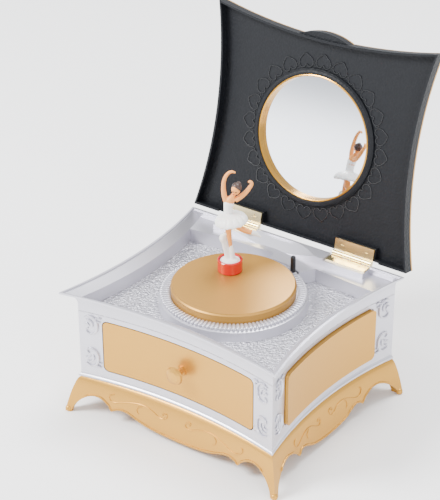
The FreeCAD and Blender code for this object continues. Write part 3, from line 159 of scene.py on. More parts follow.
class Amount:
    """A number that varies over a surface. Sums with it, on either side, add their own Math nodes."""

    def __init__(self, finish, socket):
        self.finish = finish
        self.socket = socket

    def maths(self, operation, *values):
        """A Math node on these values, as an amount."""
        sockets = {index: getattr(value, "socket", value) for index, value in enumerate(values)}
        return Amount(self.finish, self.finish.node("Math", {"operation": operation}, sockets).outputs[0])

    def __add__(self, other):
        return self.maths("ADD", self, other)

    def __sub__(self, other):
        return self.maths("SUBTRACT", self, other)

    def __rsub__(self, other):
        return self.maths("SUBTRACT", other, self)

    def __mul__(self, other):
        return self.maths("MULTIPLY", self, other)

    def __lt__(self, other):
        return self.maths("LESS_THAN", self, other)

    def __gt__(self, other):
        return self.maths("GREATER_THAN", self, other)

    def size(self):
        """The amount without its sign."""
        return self.maths("ABSOLUTE", self)

    def root(self):
        """The square root of the amount."""
        return self.maths("SQRT", self)

    __radd__ = __add__
    __rmul__ = __mul__


class Finish:
    """A paint or metal: one Principled shader and the patterns that vary it."""

    def __init__(self, name, base, roughness, metallic=0.0, **constants):
        self.material = bpy.data.materials.new(name)
        self.material.use_nodes = True
        self.tree = self.material.node_tree
        self.shader = self.tree.nodes["Principled BSDF"]
        self.base = (*base, 1.0)
        self.shader.inputs["Base Color"].default_value = self.base
        self.shader.inputs["Roughness"].default_value = roughness
        self.shader.inputs["Metallic"].default_value = metallic
        for socket, value in constants.items():
            self.shader.inputs[socket.replace("_", " ")].default_value = value
        self.normal = None

    def node(self, kind, options=None, sockets=None):
        """Adds a node of this kind, with its options set before its sockets are filled."""
        added = self.tree.nodes.new("ShaderNode" + kind)
        for option, value in (options or {}).items():
            setattr(added, option, value)
        for socket, value in (sockets or {}).items():
            if isinstance(value, bpy.types.NodeSocket):
                self.tree.links.new(value, added.inputs[socket])
            else:
                added.inputs[socket].default_value = value
        return added

    def place(self):
        """Object coordinates."""
        return self.node("TexCoord").outputs["Object"]

    def split(self):
        """Object coordinates as three amounts."""
        parts = self.node("SeparateXYZ", {}, {0: self.place()})
        return [Amount(self, output) for output in parts.outputs]

    def noise(self, scale, detail=2.0, vector=None):
        """Soft noise, with its scale in grains per metre."""
        sockets = {"Vector": vector or self.place(), "Scale": scale, "Detail": detail}
        return Amount(self, self.node("TexNoise", {}, sockets).outputs["Fac"])

    def bump(self, height, distance, strength):
        """Raises the surface by height times distance."""
        sockets = {"Height": height.socket, "Distance": distance, "Strength": strength}
        if self.normal:
            sockets["Normal"] = self.normal
        self.normal = self.node("Bump", {}, sockets).outputs["Normal"]
        self.tree.links.new(self.normal, self.shader.inputs["Normal"])

    def mottle(self, amount, other):
        """Mixes the base colour towards another by an amount."""
        sockets = {0: amount.socket, 6: self.base, 7: (*other, 1.0)}
        mix = self.node("Mix", {"data_type": "RGBA"}, sockets)
        self.tree.links.new(mix.outputs[2], self.shader.inputs["Base Color"])

    def roughen(self, amount):
        """Lets the roughness follow an amount."""
        self.tree.links.new(amount.socket, self.shader.inputs["Roughness"])


def shade(base, factor):
    """The same colour, lighter or darker."""
    return [channel * factor for channel in base]


def painted(name, base, roughness, metallic):
    """Metallic paint on moulded plastic: fine flake and a faint unevenness."""
    finish = Finish(name, base, roughness, metallic)
    finish.mottle(finish.noise(60.0) * 0.25, shade(base, 0.86))
    finish.roughen(finish.noise(900.0) * 0.10 + (roughness - 0.05))
    finish.bump(finish.noise(2500.0), 0.03 * MM, 0.35)
    return finish


def silver_case():
    """Silver paint, with a pebbled tray floor whose pebbles' borders are darkened as painted shade."""
    base = settings().colours.silver
    finish = Finish("silver_paint", base, 0.36, 0.7)
    height = finish.split()[2]
    floor = (height - TRAY_FLOOR_Z).size() < 0.25 * MM
    sockets = {"Vector": finish.place(), "Scale": 760.0}
    pebbles = finish.node("TexVoronoi", {"feature": "SMOOTH_F1"}, sockets)
    grain = Amount(finish, pebbles.outputs["Distance"]) * 1.3 + finish.noise(1300.0) * 0.5
    finish.bump(grain * floor, 1.3 * MM, 1.0)
    finish.roughen(finish.noise(900.0) * 0.10 + 0.31)
    # Faint uneven tone all over, plus painted shade: the tray floor darkens along the pebbles' borders, following
    # the grain that bumps them.
    finish.mottle(finish.noise(60.0) * 0.2 + grain * floor * 0.45, shade(base, 0.62))
    return finish


def spun_gilt():
    """Gilt turned on a lathe: fine rings about the stage's centre."""
    base = settings().colours.stage_gilt
    finish = Finish("spun_gilt", base, 0.45, 0.65)
    across, along, height = finish.split()
    out_x, out_y = across - STAGE_CENTRE.x, along - STAGE_CENTRE.y
    radius = (out_x * out_x + out_y * out_y).root()
    ring = finish.node("CombineXYZ", {}, {0: radius.socket, 1: 0.0, 2: 0.0}).outputs[0]
    finish.bump(finish.noise(5200.0, 3.0, ring), 0.045 * MM, 0.8)
    finish.mottle(finish.noise(900.0, 2.0, ring) * 0.3, shade(base, 0.8))
    return finish


def grained_liner():
    """Charcoal plastic with a leather grain."""
    base = settings().colours.charcoal
    finish = Finish("charcoal_grain", base, 0.50, Specular_IOR_Level=0.22)
    sockets = {"Vector": finish.place(), "Scale": 700.0}
    cells = finish.node("TexVoronoi", {"feature": "F1"}, sockets)
    grain = Amount(finish, cells.outputs["Distance"]) + finish.noise(1500.0) * 0.6
    finish.bump(grain, 0.30 * MM, 0.55)
    finish.mottle(finish.noise(500.0), shade(base, 1.5))
    return finish


def plain(name, base, roughness, metallic=0.0, **constants):
    """A smooth finish, faintly uneven."""
    finish = Finish(name, base, roughness, metallic, **constants)
    finish.mottle(finish.noise(300.0) * 0.3, shade(base, 0.9))
    return finish


def brushed(name, base, roughness):
    """Worked metal with a fine grain."""
    finish = Finish(name, base, roughness, 1.0)
    grain = finish.noise(1800.0, 4.0)
    finish.roughen(grain * 0.12 + (roughness - 0.06))
    finish.bump(grain, 0.008 * MM, 0.4)
    finish.mottle(finish.noise(250.0) * 0.3, shade(base, 0.8))
    return finish


def make_finishes():
    """Every finish, by the name of the record's slot or of the dancer's part."""
    tint = settings().colours
    return {
        "silver": silver_case(),
        "gilt": painted("gilt_paint", tint.gilt, 0.34, 0.66),
        "stage_gilt": spun_gilt(),
        "charcoal": grained_liner(),
        "charcoal_moulding": plain("charcoal_moulding", tint.charcoal, 0.26, Specular_IOR_Level=0.5),
        "gilt_ring": painted("gilt_ring", tint.gilt, 0.24, 0.9),
        "mirror": plain("mirror_glass", tint.mirror, 0.015, 1.0),
        "brass": brushed("hinge_brass", tint.brass, 0.24),
        "steel": brushed("movement_steel", tint.steel, 0.32),
        "zinc": brushed("cast_zinc", shade(tint.steel, 0.9), 0.46),
        "inner_plastic": plain("inner_plastic", (0.72, 0.72, 0.71), 0.5),
        "black_plastic": plain("black_plastic", (0.012, 0.012, 0.014), 0.28),
        "magnet": plain("magnet_ferrite", (0.05, 0.05, 0.055), 0.6),
        "red_cup": plain("red_plastic", tint.red, 0.22, Coat_Weight=0.6, Coat_Roughness=0.08),
        "white_plastic": plain("white_plastic", tint.white, 0.38,
                               Subsurface_Weight=0.08, Subsurface_Scale=0.002),
        "skin": plain("skin_paint", tint.skin, 0.42,
                      Subsurface_Weight=0.06, Subsurface_Scale=0.001),
        "hair": plain("hair_paint", tint.hair, 0.4),
        "lips": plain("lip_paint", (0.55, 0.03, 0.03), 0.4),
        "eyes": plain("eye_paint", (0.015, 0.01, 0.01), 0.3),
    }


FINISHES = {}


def finish_named(key):
    """The material for a key. All are made the first time that one is asked for."""
    if not FINISHES:
        FINISHES.update(make_finishes())
    return FINISHES[key].material


def finish_frame_nodes():
    """Gives each node of the frame the finish of its slot in the record."""
    for part in frame["record"]["subparts"]:
        node = NODES[part["node"]]
        key = "stage_gilt" if part["node"] == "stage_plate" else part["material_slot"]
        node.data.materials.clear()
        node.data.materials.append(finish_named(key))


# ---------------------------------------------------------------- modelling

SMOOTH_ANGLE = 40  # faces that meet at less are shaded as one surface, in degrees
MOULDED_SMOOTH_ANGLE = 80  # the same on the dancer's soft mouldings
MOULD_VOXEL, HAIR_VOXEL = 0.22 * MM, 0.2 * MM  # fineness of the dancer's mouldings and of the hair
RAY_START = 0.3  # where a ray that looks for an outer face starts, from the middle of the box


def active():
    """The piece that the last tool made."""
    return bpy.context.view_layer.objects.active


def deselect():
    """Leaves edit mode with nothing selected."""
    if bpy.context.mode != "OBJECT":
        bpy.ops.object.mode_set(mode="OBJECT")
    bpy.ops.object.select_all(action="DESELECT")


def choose(*pieces):
    """Selects only these pieces, the first one active."""
    deselect()
    for piece in pieces:
        piece.select_set(True)
    bpy.context.view_layer.objects.active = pieces[0]


def strand(points, widths, closed=False, steps=4, sides=2):
    """A rounded strand through points, with a radius at each: a bevelled curve, made a mesh."""
    deselect()
    bpy.ops.curve.primitive_bezier_curve_add()
    curve = active()
    spline = curve.data.splines[0]
    spline.bezier_points.add(len(points) - 2)
    for knot, point, width in zip(spline.bezier_points, points, widths):
        knot.handle_left_type = knot.handle_right_type = "AUTO"
        knot.co = point
        knot.radius = width
    spline.use_cyclic_u = closed
    curve.data.bevel_depth = 1.0
    curve.data.bevel_resolution = sides
    curve.data.resolution_u = steps
    curve.data.use_fill_caps = not closed
    bpy.ops.object.convert(target="MESH")
    return active()


def ball(centre, radius, scale=(1, 1, 1), turn=(0, 0, 0), fineness=16):
    """A stretched and turned ball, its place applied."""
    deselect()
    bpy.ops.mesh.primitive_uv_sphere_add(segments=fineness, ring_count=fineness // 2, radius=radius,
                                         location=centre, rotation=turn, scale=scale)
    bpy.ops.object.transform_apply(location=True, rotation=True, scale=True)
    return active()


def join(pieces):
    """Joins pieces into the first."""
    choose(*pieces)
    if len(pieces) > 1:
        bpy.ops.object.join()
    return active()


def modify(piece, kind, **options):
    """Adds a modifier and applies it."""
    choose(piece)
    bpy.ops.object.modifier_add(type=kind)
    modifier = piece.modifiers[-1]
    for option, value in options.items():
        setattr(modifier, option, value)
    bpy.ops.object.modifier_apply(modifier=modifier.name)
    return piece


def moulded(pieces, voxel, smoothing):
    """Melts overlapping pieces into one smooth moulding."""
    whole = modify(join(pieces), "REMESH", mode="VOXEL", voxel_size=voxel, use_smooth_shade=True)
    return modify(whole, "SMOOTH", factor=0.5, iterations=smoothing)


def copies(piece, moves):
    """Copies of a piece, one for each move, joined into one mesh; the piece itself is used up."""
    made = []
    for move in moves:
        twin = piece.copy()
        twin.data = piece.data.copy()
        twin.data.transform(move)
        if move.determinant() < 0:
            twin.data.flip_normals()
        bpy.context.collection.objects.link(twin)
        made.append(twin)
    bpy.data.objects.remove(piece)
    return join(made)


def finished(piece, name, body, key, smooth=SMOOTH_ANGLE):
    """Names a piece, gives it its finish and lets it ride on its body."""
    choose(piece)
    bpy.ops.object.transform_apply(location=True, rotation=True, scale=True)
    bpy.ops.object.shade_smooth_by_angle(angle=math.radians(smooth))
    piece.name = piece.data.name = name
    piece.data.materials.clear()
    piece.data.materials.append(finish_named(key))
    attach(piece, body)
    return piece


def laid_on(node, side, path, raised):
    """Points of a path, each across and up, laid on a node's outer face: front, left or right."""
    points = []
    for across, up in path:
        start, aim = {
            "front": (Vector((across, -RAY_START, up)), Vector((0, 1, 0))),
            "right": (Vector((RAY_START, across, up)), Vector((-1, 0, 0))),
            "left": (Vector((-RAY_START, across, up)), Vector((1, 0, 0))),
        }[side]
        hit, spot, normal, _ = NODES[node].ray_cast(start, aim)
        if not hit:
            raise RuntimeError(f"nothing of {node} at {across:.4f}, {up:.4f} on its {side}")
        points.append(spot + normal * raised)
    return points


def lid_turn():
    """From the lid's shut place to where it stands open at rest."""
    joint = JOINTS["lid_hinge"]
    there = Matrix.Translation(joint["pos_m"])
    opened = Matrix.Rotation(-math.radians(joint["range_deg"][1]), 4, X_AXIS)
    return there @ opened @ there.inverted()


# ---------------------------------------------------------------- ornament

# A scroll beside a panel, in millimetres: each strand's points and radii. A point is across from the
# scroll's middle, towards the panel, and up.
SCROLL = [
    ([(-3.8, 4.6), (-0.6, 6.0), (2.6, 4.2), (3.7, 0.2),
      (2.4, -4.0), (-1.0, -5.4), (-3.2, -3.6), (-1.8, -1.8)],
     [0.25, 0.5, 0.75, 0.85, 0.7, 0.55, 0.45, 0.35]),
    ([(-3.4, 3.0), (-1.2, 3.2), (0.8, 1.2), (0.6, -1.4)], [0.2, 0.6, 0.65, 0.2]),
    ([(-4.0, 0.6), (-2.4, 1.0), (-1.0, -0.8)], [0.2, 0.55, 0.2]),
    ([(2.8, 4.8), (4.8, 5.8), (6.6, 5.4)], [0.3, 0.6, 0.15]),
    ([(3.6, 2.4), (5.0, 3.4), (5.8, 2.6)], [0.3, 0.45, 0.15]),
]

# Where the scrolls' middles are, in millimetres from a panel's top, its foot and its upright edges.
SCROLL_BELOW_TOP, SCROLL_ABOVE_FOOT = 3.9, 7.1
SCROLL_PANELS = [
    ("front", "drawer_front", 7.0),
    ("left", "side_panel_left", 8.3),
    ("right", "side_panel_right", 8.3),
]

# The flourishes of an apron: each strand's points, across from the middle and up in millimetres, and its
# radii, as parts of the widest.
FLOURISHES = [
    ([(-42.5, 17.3), (-45.0, 16.2), (-45.4, 14.2), (-43.0, 12.8), (-36.5, 14.2), (-29.5, 15.8),
      (-23.0, 16.2), (-17.0, 14.8), (-12.0, 12.9), (-8.8, 13.4), (-7.6, 15.2), (-9.4, 16.2),
      (-10.4, 14.9)],
     [0.5, 0.9, 0.8, 0.7, 0.5, 0.6, 0.7, 0.6, 0.7, 0.8, 0.9, 0.7, 1.0]),
    ([(-23.6, 15.6), (-27.0, 13.8), (-27.0, 11.8), (-25.4, 10.6)], [0.3, 0.7, 0.6, 0.2]),
    ([(8.2, 15.2), (8.0, 16.5), (5.8, 16.1), (5.0, 14.4), (7.6, 13.0), (14.0, 15.0), (20.0, 16.2),
      (26.0, 15.8), (32.5, 14.2), (38.0, 12.6), (41.8, 12.8), (44.6, 14.6), (45.0, 16.4), (43.4, 17.0)],
     [1.0, 0.7, 0.9, 0.8, 0.7, 0.6, 0.7, 0.6, 0.5, 0.7, 0.8, 0.9, 0.8, 0.4]),
    ([(25.0, 15.4), (26.6, 13.6), (26.2, 11.6), (24.6, 10.6)], [0.3, 0.7, 0.6, 0.2]),
]
FLOURISH_RAISE = 0.1 * MM

FRONT_APRON_HALF, SIDE_APRON_HALF = 62.0, 54.0  # half the length of the raised borders, in millimetres
SIDE_FLOURISH_FACTOR = 0.72  # how much shorter the flourishes are on the sides
BORDER_STEPS = 72
EDGE_STEP = 0.4 * MM  # how finely an apron's lower edge is looked for

FLUTE_INNER, FLUTE_OUTER = 0.7 * MM, 5.0 * MM  # where a flute begins and ends beyond the stage plate
FLUTE_HEIGHT = 1.9 * MM
FLUTE_FILL = 1.16  # width of a flute as a part of half the distance to the next
FLUTE_BEVEL = 0.3 * MM
BEAD_FILL = 0.8  # radius of a bead, by the same measure

# Half the outline of a heart about its middle, its point towards +Y, and the small loop between two
# hearts, both in millimetres across and up.
HEART_HALF = [(0.0, -2.3), (1.4, -3.7), (3.4, -3.5), (4.6, -1.7), (4.1, 0.7), (2.1, 2.6), (0.0, 3.9)]
LOOP = [(-0.7, 0.0), (0.0, 1.0), (0.7, 0.0), (0.0, -1.0)]
LOOP_INWARDS = 2.2 * MM  # how much nearer to the mirror the loops are than the hearts' middles
LOOP_FINENESS = 0.7  # width of a loop's strand as a part of a heart's
LINER_SPOT = Vector((0.050, 0.020, 0))  # a place under the bare liner, with the lid shut


def scroll_places():
    """Side, middle across, direction towards the panel, middle height and up-sense of each scroll."""
    places = []
    for side, node, beside in SCROLL_PANELS:
        axis = 0 if side == "front" else 1
        low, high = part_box(node)
        upper, lower = high.z / MM - SCROLL_BELOW_TOP, low.z / MM + SCROLL_ABOVE_FOOT
        for middle, sense in ((upper, 1), (lower, -1)):
            places.append((side, low[axis] / MM - beside, 1, middle, sense))
            places.append((side, high[axis] / MM + beside, -1, middle, sense))
    return places


def make_wall_scrolls():
    """Raised scrolls beside the drawer and the side panels."""
    raised = settings().ornament.scroll_raise
    strands = []
    for side, centre, way, middle, sense in scroll_places():
        for path, widths in SCROLL:
            spots = [((centre + way * across) * MM, (middle + sense * up) * MM) for across, up in path]
            line = laid_on("case_shell", side, spots, raised)
            strands.append(strand(line, [width * MM for width in widths], steps=3))
    return finished(join(strands), "wall_scrolls", "case", "silver")


def apron_faces():
    """Side, middle across, width factor and half width, in millimetres, of each ornamented apron."""
    middle = (STAND_LOW.y + STAND_HIGH.y) / 2 / MM
    return [
        ("front", 0.0, 1.0, FRONT_APRON_HALF),
        ("left", middle, SIDE_FLOURISH_FACTOR, SIDE_APRON_HALF),
        ("right", middle, SIDE_FLOURISH_FACTOR, SIDE_APRON_HALF),
    ]


def make_apron_flourishes():
    """Two raised flourishes on each ornamented apron."""
    widest = settings().ornament.flourish_width
    strands = []
    for side, middle, factor, _ in apron_faces():
        for path, widths in FLOURISHES:
            spots = [((middle + factor * across) * MM, up * MM) for across, up in path]
            line = laid_on("stand", side, spots, FLOURISH_RAISE)
            strands.append(strand(line, [width * widest for width in widths]))
    return finished(join(strands), "apron_flourishes", "case", "gilt")


def apron_edge(side, across):
    """Height of the stand's lower edge at a place across a face."""
    up = EDGE_STEP
    while up < CASE_FOOT_Z:
        try:
            laid_on("stand", side, [(across, up)], 0)
            return up
        except RuntimeError:
            up += EDGE_STEP
    raise RuntimeError(f"no stand at {across:.4f} on its {side}")


def make_apron_borders():
    """A raised border along the scalloped edge of each apron."""
    width = settings().ornament.border_width
    strands = []
    for side, middle, _, half in apron_faces():
        spots = []
        for index in range(BORDER_STEPS + 1):
            across = (middle + half * (2 * index / BORDER_STEPS - 1)) * MM
            spots.append((across, apron_edge(side, across) + width))
        line = laid_on("stand", side, spots, 0)
        strands.append(strand(line, [width] * len(line), steps=2))
    return finished(join(strands), "apron_borders", "case", "gilt")


def make_stage_flutes():
    """The ring of radial flutes round the stage, each a flat bar with a bead at its outer end."""
    count = settings().ornament.flutes
    inner = STAGE_RADIUS + FLUTE_INNER
    outer = STAGE_RADIUS + FLUTE_OUTER
    top = RING_HIGH.z
    half_pitch = math.pi * outer / count
    deselect()
    bpy.ops.mesh.primitive_cube_add(size=1, location=((inner + outer) / 2, 0, top),
                                    scale=(outer - inner, half_pitch * FLUTE_FILL, FLUTE_HEIGHT))
    flute = active()
    bpy.ops.object.transform_apply(location=True, rotation=True, scale=True)
    modify(flute, "BEVEL", width=FLUTE_BEVEL, segments=2, limit_method="ANGLE")
    bead = ball((outer, 0, top), half_pitch * BEAD_FILL, (1.1, 1, 1.15), fineness=10)
    flute = join([flute, bead])
    centre = Matrix.Translation((STAGE_CENTRE.x, STAGE_CENTRE.y, 0))
    turns = [centre @ Matrix.Rotation(2 * math.pi * index / count, 4, Z_AXIS) for index in range(count)]
    return finished(copies(flute, turns), "stage_flutes", "case", "silver")


def liner_floor(opened):
    """Height of the liner's inner face with the lid shut. opened takes the lid to where it stands."""
    aim = opened.to_3x3() @ Z_AXIS
    hit, spot, _, _ = NODES["lid_liner"].ray_cast(opened @ LINER_SPOT, aim)
    if not hit:
        raise RuntimeError("the liner's inner face wasn't found")
    return (opened.inverted() @ spot).z


def make_liner_hearts():
    """A ring of outlined hearts on the lid's liner, round the inner mirror, with loops between them."""
    sizes = settings().ornament
    opened = lid_turn()
    low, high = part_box("mirror_inner")
    centre = opened.inverted() @ ((low + high) / 2)
    middle = Matrix.Translation((centre.x, centre.y, liner_floor(opened)))
    half = [Vector((across * MM, up * MM, 0)) for across, up in HEART_HALF]
    outline = half + [Vector((-spot.x, spot.y, 0)) for spot in reversed(half[1:-1])]
    heart = strand(outline, [sizes.heart_width] * len(outline), closed=True, steps=3, sides=1)
    between = Vector((math.pi * sizes.heart_radius / sizes.hearts, -LOOP_INWARDS, 0))
    spots = [between + Vector((across * MM, up * MM, 0)) for across, up in LOOP]
    loop = strand(spots, [LOOP_FINENESS * sizes.heart_width] * len(spots), closed=True, steps=2, sides=1)
    motif = join([heart, loop])
    out = Matrix.Translation((0, sizes.heart_radius, 0))
    moves = []
    for index in range(sizes.hearts):
        turn = Matrix.Rotation(2 * math.pi * index / sizes.hearts, 4, Z_AXIS)
        moves.append(opened @ middle @ turn @ out)
    return finished(copies(motif, moves), "liner_hearts", "lid", "charcoal_moulding")


# ---------------------------------------------------------------- dancer

# The tutu, in millimetres: its waist, its widest radius, and its rings from the waist out and back under,
# each a radius and the rise from the ring before.
TUTU_WAIST, TUTU_WIDEST = 2.5, 9.2
TUTU_RINGS = [(3.8, -0.35), (5.4, -0.55), (6.9, -0.8), (8.2, -1.1), (9.0, -1.3), (9.2, -1.0),
              (8.6, -0.5), (6.2, 1.2), (2.4, 1.5)]
TUTU_LEAN = math.radians(-7)
FRILLS = 14
FRILL_DROP = 0.4 * MM


def about_dancer(points):
    """Millimetres right of, behind and above the top of the dancer's base, as places in the frame."""
    turn = Matrix.Rotation(settings().dancer.facing, 4, Z_AXIS)
    base = Vector((DANCER_AXIS.x, DANCER_AXIS.y, PUCK_HIGH.z))
    return [base + turn @ (Vector(point) * MM) for point in points]


def limb(points, widths, sides=3):
    """A strand about the dancer, in millimetres."""
    return strand(about_dancer(points), [width * MM for width in widths], steps=6, sides=sides)


def make_dancer_skin():
    """Head, neck, shoulders, arms and the bare part of both legs."""
    head, = about_dancer([(3.1, -0.6, 43.7)])
    facing = settings().dancer.facing
    parts = [
        ball(head, settings().dancer.head_radius, (0.92, 0.98, 1.12), (0.25, -0.30, facing)),
        limb([(-0.5, 0, 33.6), (-0.2, 0, 36.8), (1.2, -0.1, 39.4), (2.6, -0.4, 41.8)], [2.5, 2.6, 1.3, 1.2]),
        limb([(-2.2, 0, 36.6), (0.0, 0, 38.0), (2.6, 0, 37.4)], [1.4, 1.6, 1.5]),
        limb([(-2.2, 0, 36.4), (-3.2, 0.3, 40.6), (-3.5, 0.2, 45.5), (-3.1, 0, 49.2), (-1.5, -0.2, 52.8),
              (0.7, -0.3, 54.4), (3.0, -0.4, 53.9)],
             [1.5, 1.45, 1.25, 1.15, 1.0, 0.85, 0.5]),
        limb([(2.8, 0, 37.2), (5.9, 0.3, 39.2), (8.8, 0.4, 42.0), (10.8, 0.2, 45.0), (11.7, 0, 47.2),
              (11.0, -0.2, 48.4), (9.7, -0.4, 48.3)],
             [1.6, 1.5, 1.35, 1.15, 1.0, 0.85, 0.5]),
        limb([(-1.0, 0, 24.5), (-0.9, 0, 18.4), (-0.2, 0, 13.0), (0.4, 0, 8.0)], [1.9, 1.75, 1.35, 0.95]),
        limb([(0.6, 0.6, 23.5), (4.5, 1.0, 20.2), (8.5, 1.1, 17.8), (12.2, 1.1, 16.7)],
             [1.9, 1.8, 1.65, 1.25]),
    ]
    piece = finished(moulded(parts, MOULD_VOXEL, 4), "dancer_skin", "dancer", "skin",
                     MOULDED_SMOOTH_ANGLE)
    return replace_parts(piece, "dancer_figure")


def make_tutu(waist):
    """A short stiff skirt in frills about the waist, tilted a little."""
    size = settings().dancer.tutu_radius / TUTU_WIDEST
    deselect()
    bpy.ops.mesh.primitive_circle_add(vertices=6 * FRILLS, radius=size * TUTU_WAIST, fill_type="NGON",
                                      location=waist)
    tutu = active()
    bpy.ops.object.mode_set(mode="EDIT")
    before = TUTU_WAIST
    for radius, rise in TUTU_RINGS:
        bpy.ops.mesh.extrude_region_move(TRANSFORM_OT_translate={"value": (0, 0, size * rise)})
        bpy.ops.transform.resize(value=(radius / before, radius / before, 1))
        before = radius
    bpy.ops.object.mode_set(mode="OBJECT")
    bpy.ops.object.transform_apply(location=True, rotation=True, scale=True)
    for vertex in tutu.data.vertices:
        out = vertex.co - waist
        out.z = 0
        wave = math.sin(FRILLS * math.atan2(out.y, out.x))
        vertex.select = out.length > 0.6 * size * TUTU_WIDEST and wave > 0.2
    for parts in (tutu.data.edges, tutu.data.polygons):
        for part in parts:
            part.select = all(tutu.data.vertices[index].select for index in part.vertices)
    bpy.ops.object.mode_set(mode="EDIT")
    bpy.ops.mesh.select_mode(type="VERT")
    bpy.ops.transform.translate(value=(0, 0, -FRILL_DROP))
    bpy.ops.mesh.select_all(action="SELECT")
    bpy.ops.mesh.normals_make_consistent(inside=False)
    bpy.ops.object.mode_set(mode="OBJECT")
    facing = Matrix.Rotation(settings().dancer.facing, 4, Z_AXIS)
    lean = facing @ Matrix.Rotation(TUTU_LEAN, 4, "Y") @ facing.inverted()
    about = Matrix.Translation(waist)
    tutu.data.transform(about @ lean @ about.inverted())
    return tutu


def make_dancer_dress():
    """Bodice and tutu."""
    waist, bust = about_dancer([(0.1, 0, 29.4), (-0.5, 0, 34.9)])
    parts = [
        make_tutu(waist),
        limb([(-0.4, 0, 25.6), (-0.8, 0, 29.6), (-0.9, 0, 32.4), (-0.6, 0, 35.6), (-0.5, 0, 36.6)],
             [2.7, 2.5, 2.55, 2.85, 2.6], 4),
        ball(bust, 2.5 * MM, (1.14, 1.05, 0.75), (0, 0, settings().dancer.facing)),
    ]
    return finished(moulded(parts, MOULD_VOXEL, 2), "dancer_dress", "dancer", "white_plastic",
                    MOULDED_SMOOTH_ANGLE)


def make_dancer_support():
    """White shoes, the moulded spray of flowers beside the standing leg, and the mound they stand on."""
    places = [(0, 0, 0.1), (-4.3, 0, 13.6), (-2.7, -0.2, 16.4), (-2.9, 0.2, 8.6)]
    mound, flower, bud, leaf = about_dancer(places)
    parts = [
        ball(mound, 4.8 * MM, (1, 1, 0.26)),
        limb([(0.5, 0, 9.4), (1.0, -0.1, 5.4), (1.4, -0.2, 1.0)], [1.1, 1.35, 1.6]),
        limb([(-1.2, 0, 0.6), (-2.2, 0, 4.5), (-3.2, 0, 8.4), (-4.0, 0, 12.4)], [1.6, 1.15, 1.05, 1.0]),
        limb([(0.2, 0.5, 0.6), (-0.8, 0.5, 6.0), (-2.2, 0.3, 11.0), (-2.6, 0, 15.6)], [1.1, 0.8, 0.6, 0.8]),
        ball(flower, 1.75 * MM, (1, 0.8, 1.6)),
        ball(bud, 1.25 * MM),
        ball(leaf, 1.3 * MM, (1, 0.7, 1.2)),
        limb([(11.8, 1.1, 17.0), (13.8, 1.1, 16.1), (17.0, 1.0, 13.8)], [1.4, 1.45, 0.6]),
    ]
    return finished(moulded(parts, MOULD_VOXEL, 3), "dancer_support", "dancer", "white_plastic",
                    MOULDED_SMOOTH_ANGLE)


def make_dancer_hair():
    """Hair drawn up to a high knot."""
    facing = settings().dancer.facing
    radius = settings().dancer.head_radius
    crown, knot = about_dancer([(3.7, 0.1, 45.1), (4.7, 0.5, 46.8)])
    parts = [
        ball(crown, radius * 1.06, (1.02, 1.0, 0.92), (0.3, 0.3, facing)),
        ball(knot, radius * 0.55),
    ]
    return finished(moulded(parts, HAIR_VOXEL, 2), "dancer_hair", "dancer", "hair",
                    MOULDED_SMOOTH_ANGLE)


def make_dancer_face():
    """Painted eyes and lips, each a tapered stroke a little proud of the head."""
    strokes = {
        "eyes": [[(1.1, -2.75, 43.5), (1.5, -2.95, 43.6), (1.9, -3.05, 43.5)],
                 [(2.8, -3.15, 43.3), (3.2, -3.2, 43.4), (3.6, -3.15, 43.3)]],
        "lips": [[(1.5, -2.85, 42.1), (1.95, -3.0, 42.0), (2.4, -3.0, 42.1)]],
    }
    for key, paths in strokes.items():
        made = [limb(path, [0.14, 0.34, 0.14], 2) for path in paths]
        finished(join(made), "dancer_" + key, "dancer", key)


# ---------------------------------------------------------------- stage

FLOOR_SIZE = 12
SKY_COLOUR, SKY_STRENGTH = (0.95, 0.97, 1.0, 1.0), 1.35

# Each soft light's name, place, the point it is aimed at, its size and its power.
LIGHTS = [
    ("key_light", (-0.9, -1.0, 1.3), (0, 0, 0.05), 0.7, 62),
    ("fill_light", (1.3, -0.7, 0.7), (0, 0, 0.08), 0.6, 10),
    ("top_light", (0.1, 0.5, 1.6), (0, 0, 0.05), 0.8, 30),
]


def area_light(name, place, aim, size, power):
    """A round soft light, in metres and watts."""
    deselect()
    bpy.ops.object.light_add(type="AREA", location=place)
    light = active()
    light.name = name
    light.data.shape = "DISK"
    light.data.size = size
    light.data.energy = power
    light.rotation_euler = (Vector(aim) - Vector(place)).to_track_quat("-Z", "Y").to_euler()


def make_stage():
    """Floor, soft light and camera."""
    view = settings().stage
    deselect()
    bpy.ops.mesh.primitive_plane_add(size=FLOOR_SIZE, location=(0, 0, 0))
    floor = active()
    floor.name = "floor"
    paper = Finish("floor_paper", view.floor, 0.9)
    paper.mottle(paper.noise(3.0) * 0.2, shade(view.floor, 0.99))
    floor.data.materials.append(paper.material)
    world = bpy.data.worlds.new("studio")
    world.use_nodes = True
    background = world.node_tree.nodes["Background"]
    background.inputs["Color"].default_value = SKY_COLOUR
    background.inputs["Strength"].default_value = SKY_STRENGTH
    bpy.context.scene.world = world
    for light in LIGHTS:
        area_light(*light)
    bpy.ops.object.camera_add(location=view.camera_place)
    camera = active()
    camera.name = "camera"
    camera.rotation_euler = (math.pi / 2 - view.camera_tilt, 0, view.camera_turn)
    camera.data.lens = view.lens
    camera.data.sensor_width = 36
    camera.data.shift_x = view.shift
    camera.data.clip_start = 0.01
    bpy.context.scene.camera = camera


# ---------------------------------------------------------------- operators


class MUSIC_BOX_OT_finish_nodes(bpy.types.Operator):
    """Gives every node of the frame its paint or metal"""

    bl_idname = "music_box.finish_nodes"
    bl_label = "Finish the box"

    def execute(self, context):
        finish_frame_nodes()
        return {"FINISHED"}


class MUSIC_BOX_OT_stage_flutes(bpy.types.Operator):
    """Adds the ring of flutes round the stage"""

    bl_idname = "music_box.stage_flutes"
    bl_label = "Stage flutes"

    def execute(self, context):
        make_stage_flutes()
        return {"FINISHED"}


class MUSIC_BOX_OT_wall_scrolls(bpy.types.Operator):
    """Adds the raised scrolls beside the drawer and the side panels"""

    bl_idname = "music_box.wall_scrolls"
    bl_label = "Wall scrolls"

    def execute(self, context):
        make_wall_scrolls()
        return {"FINISHED"}


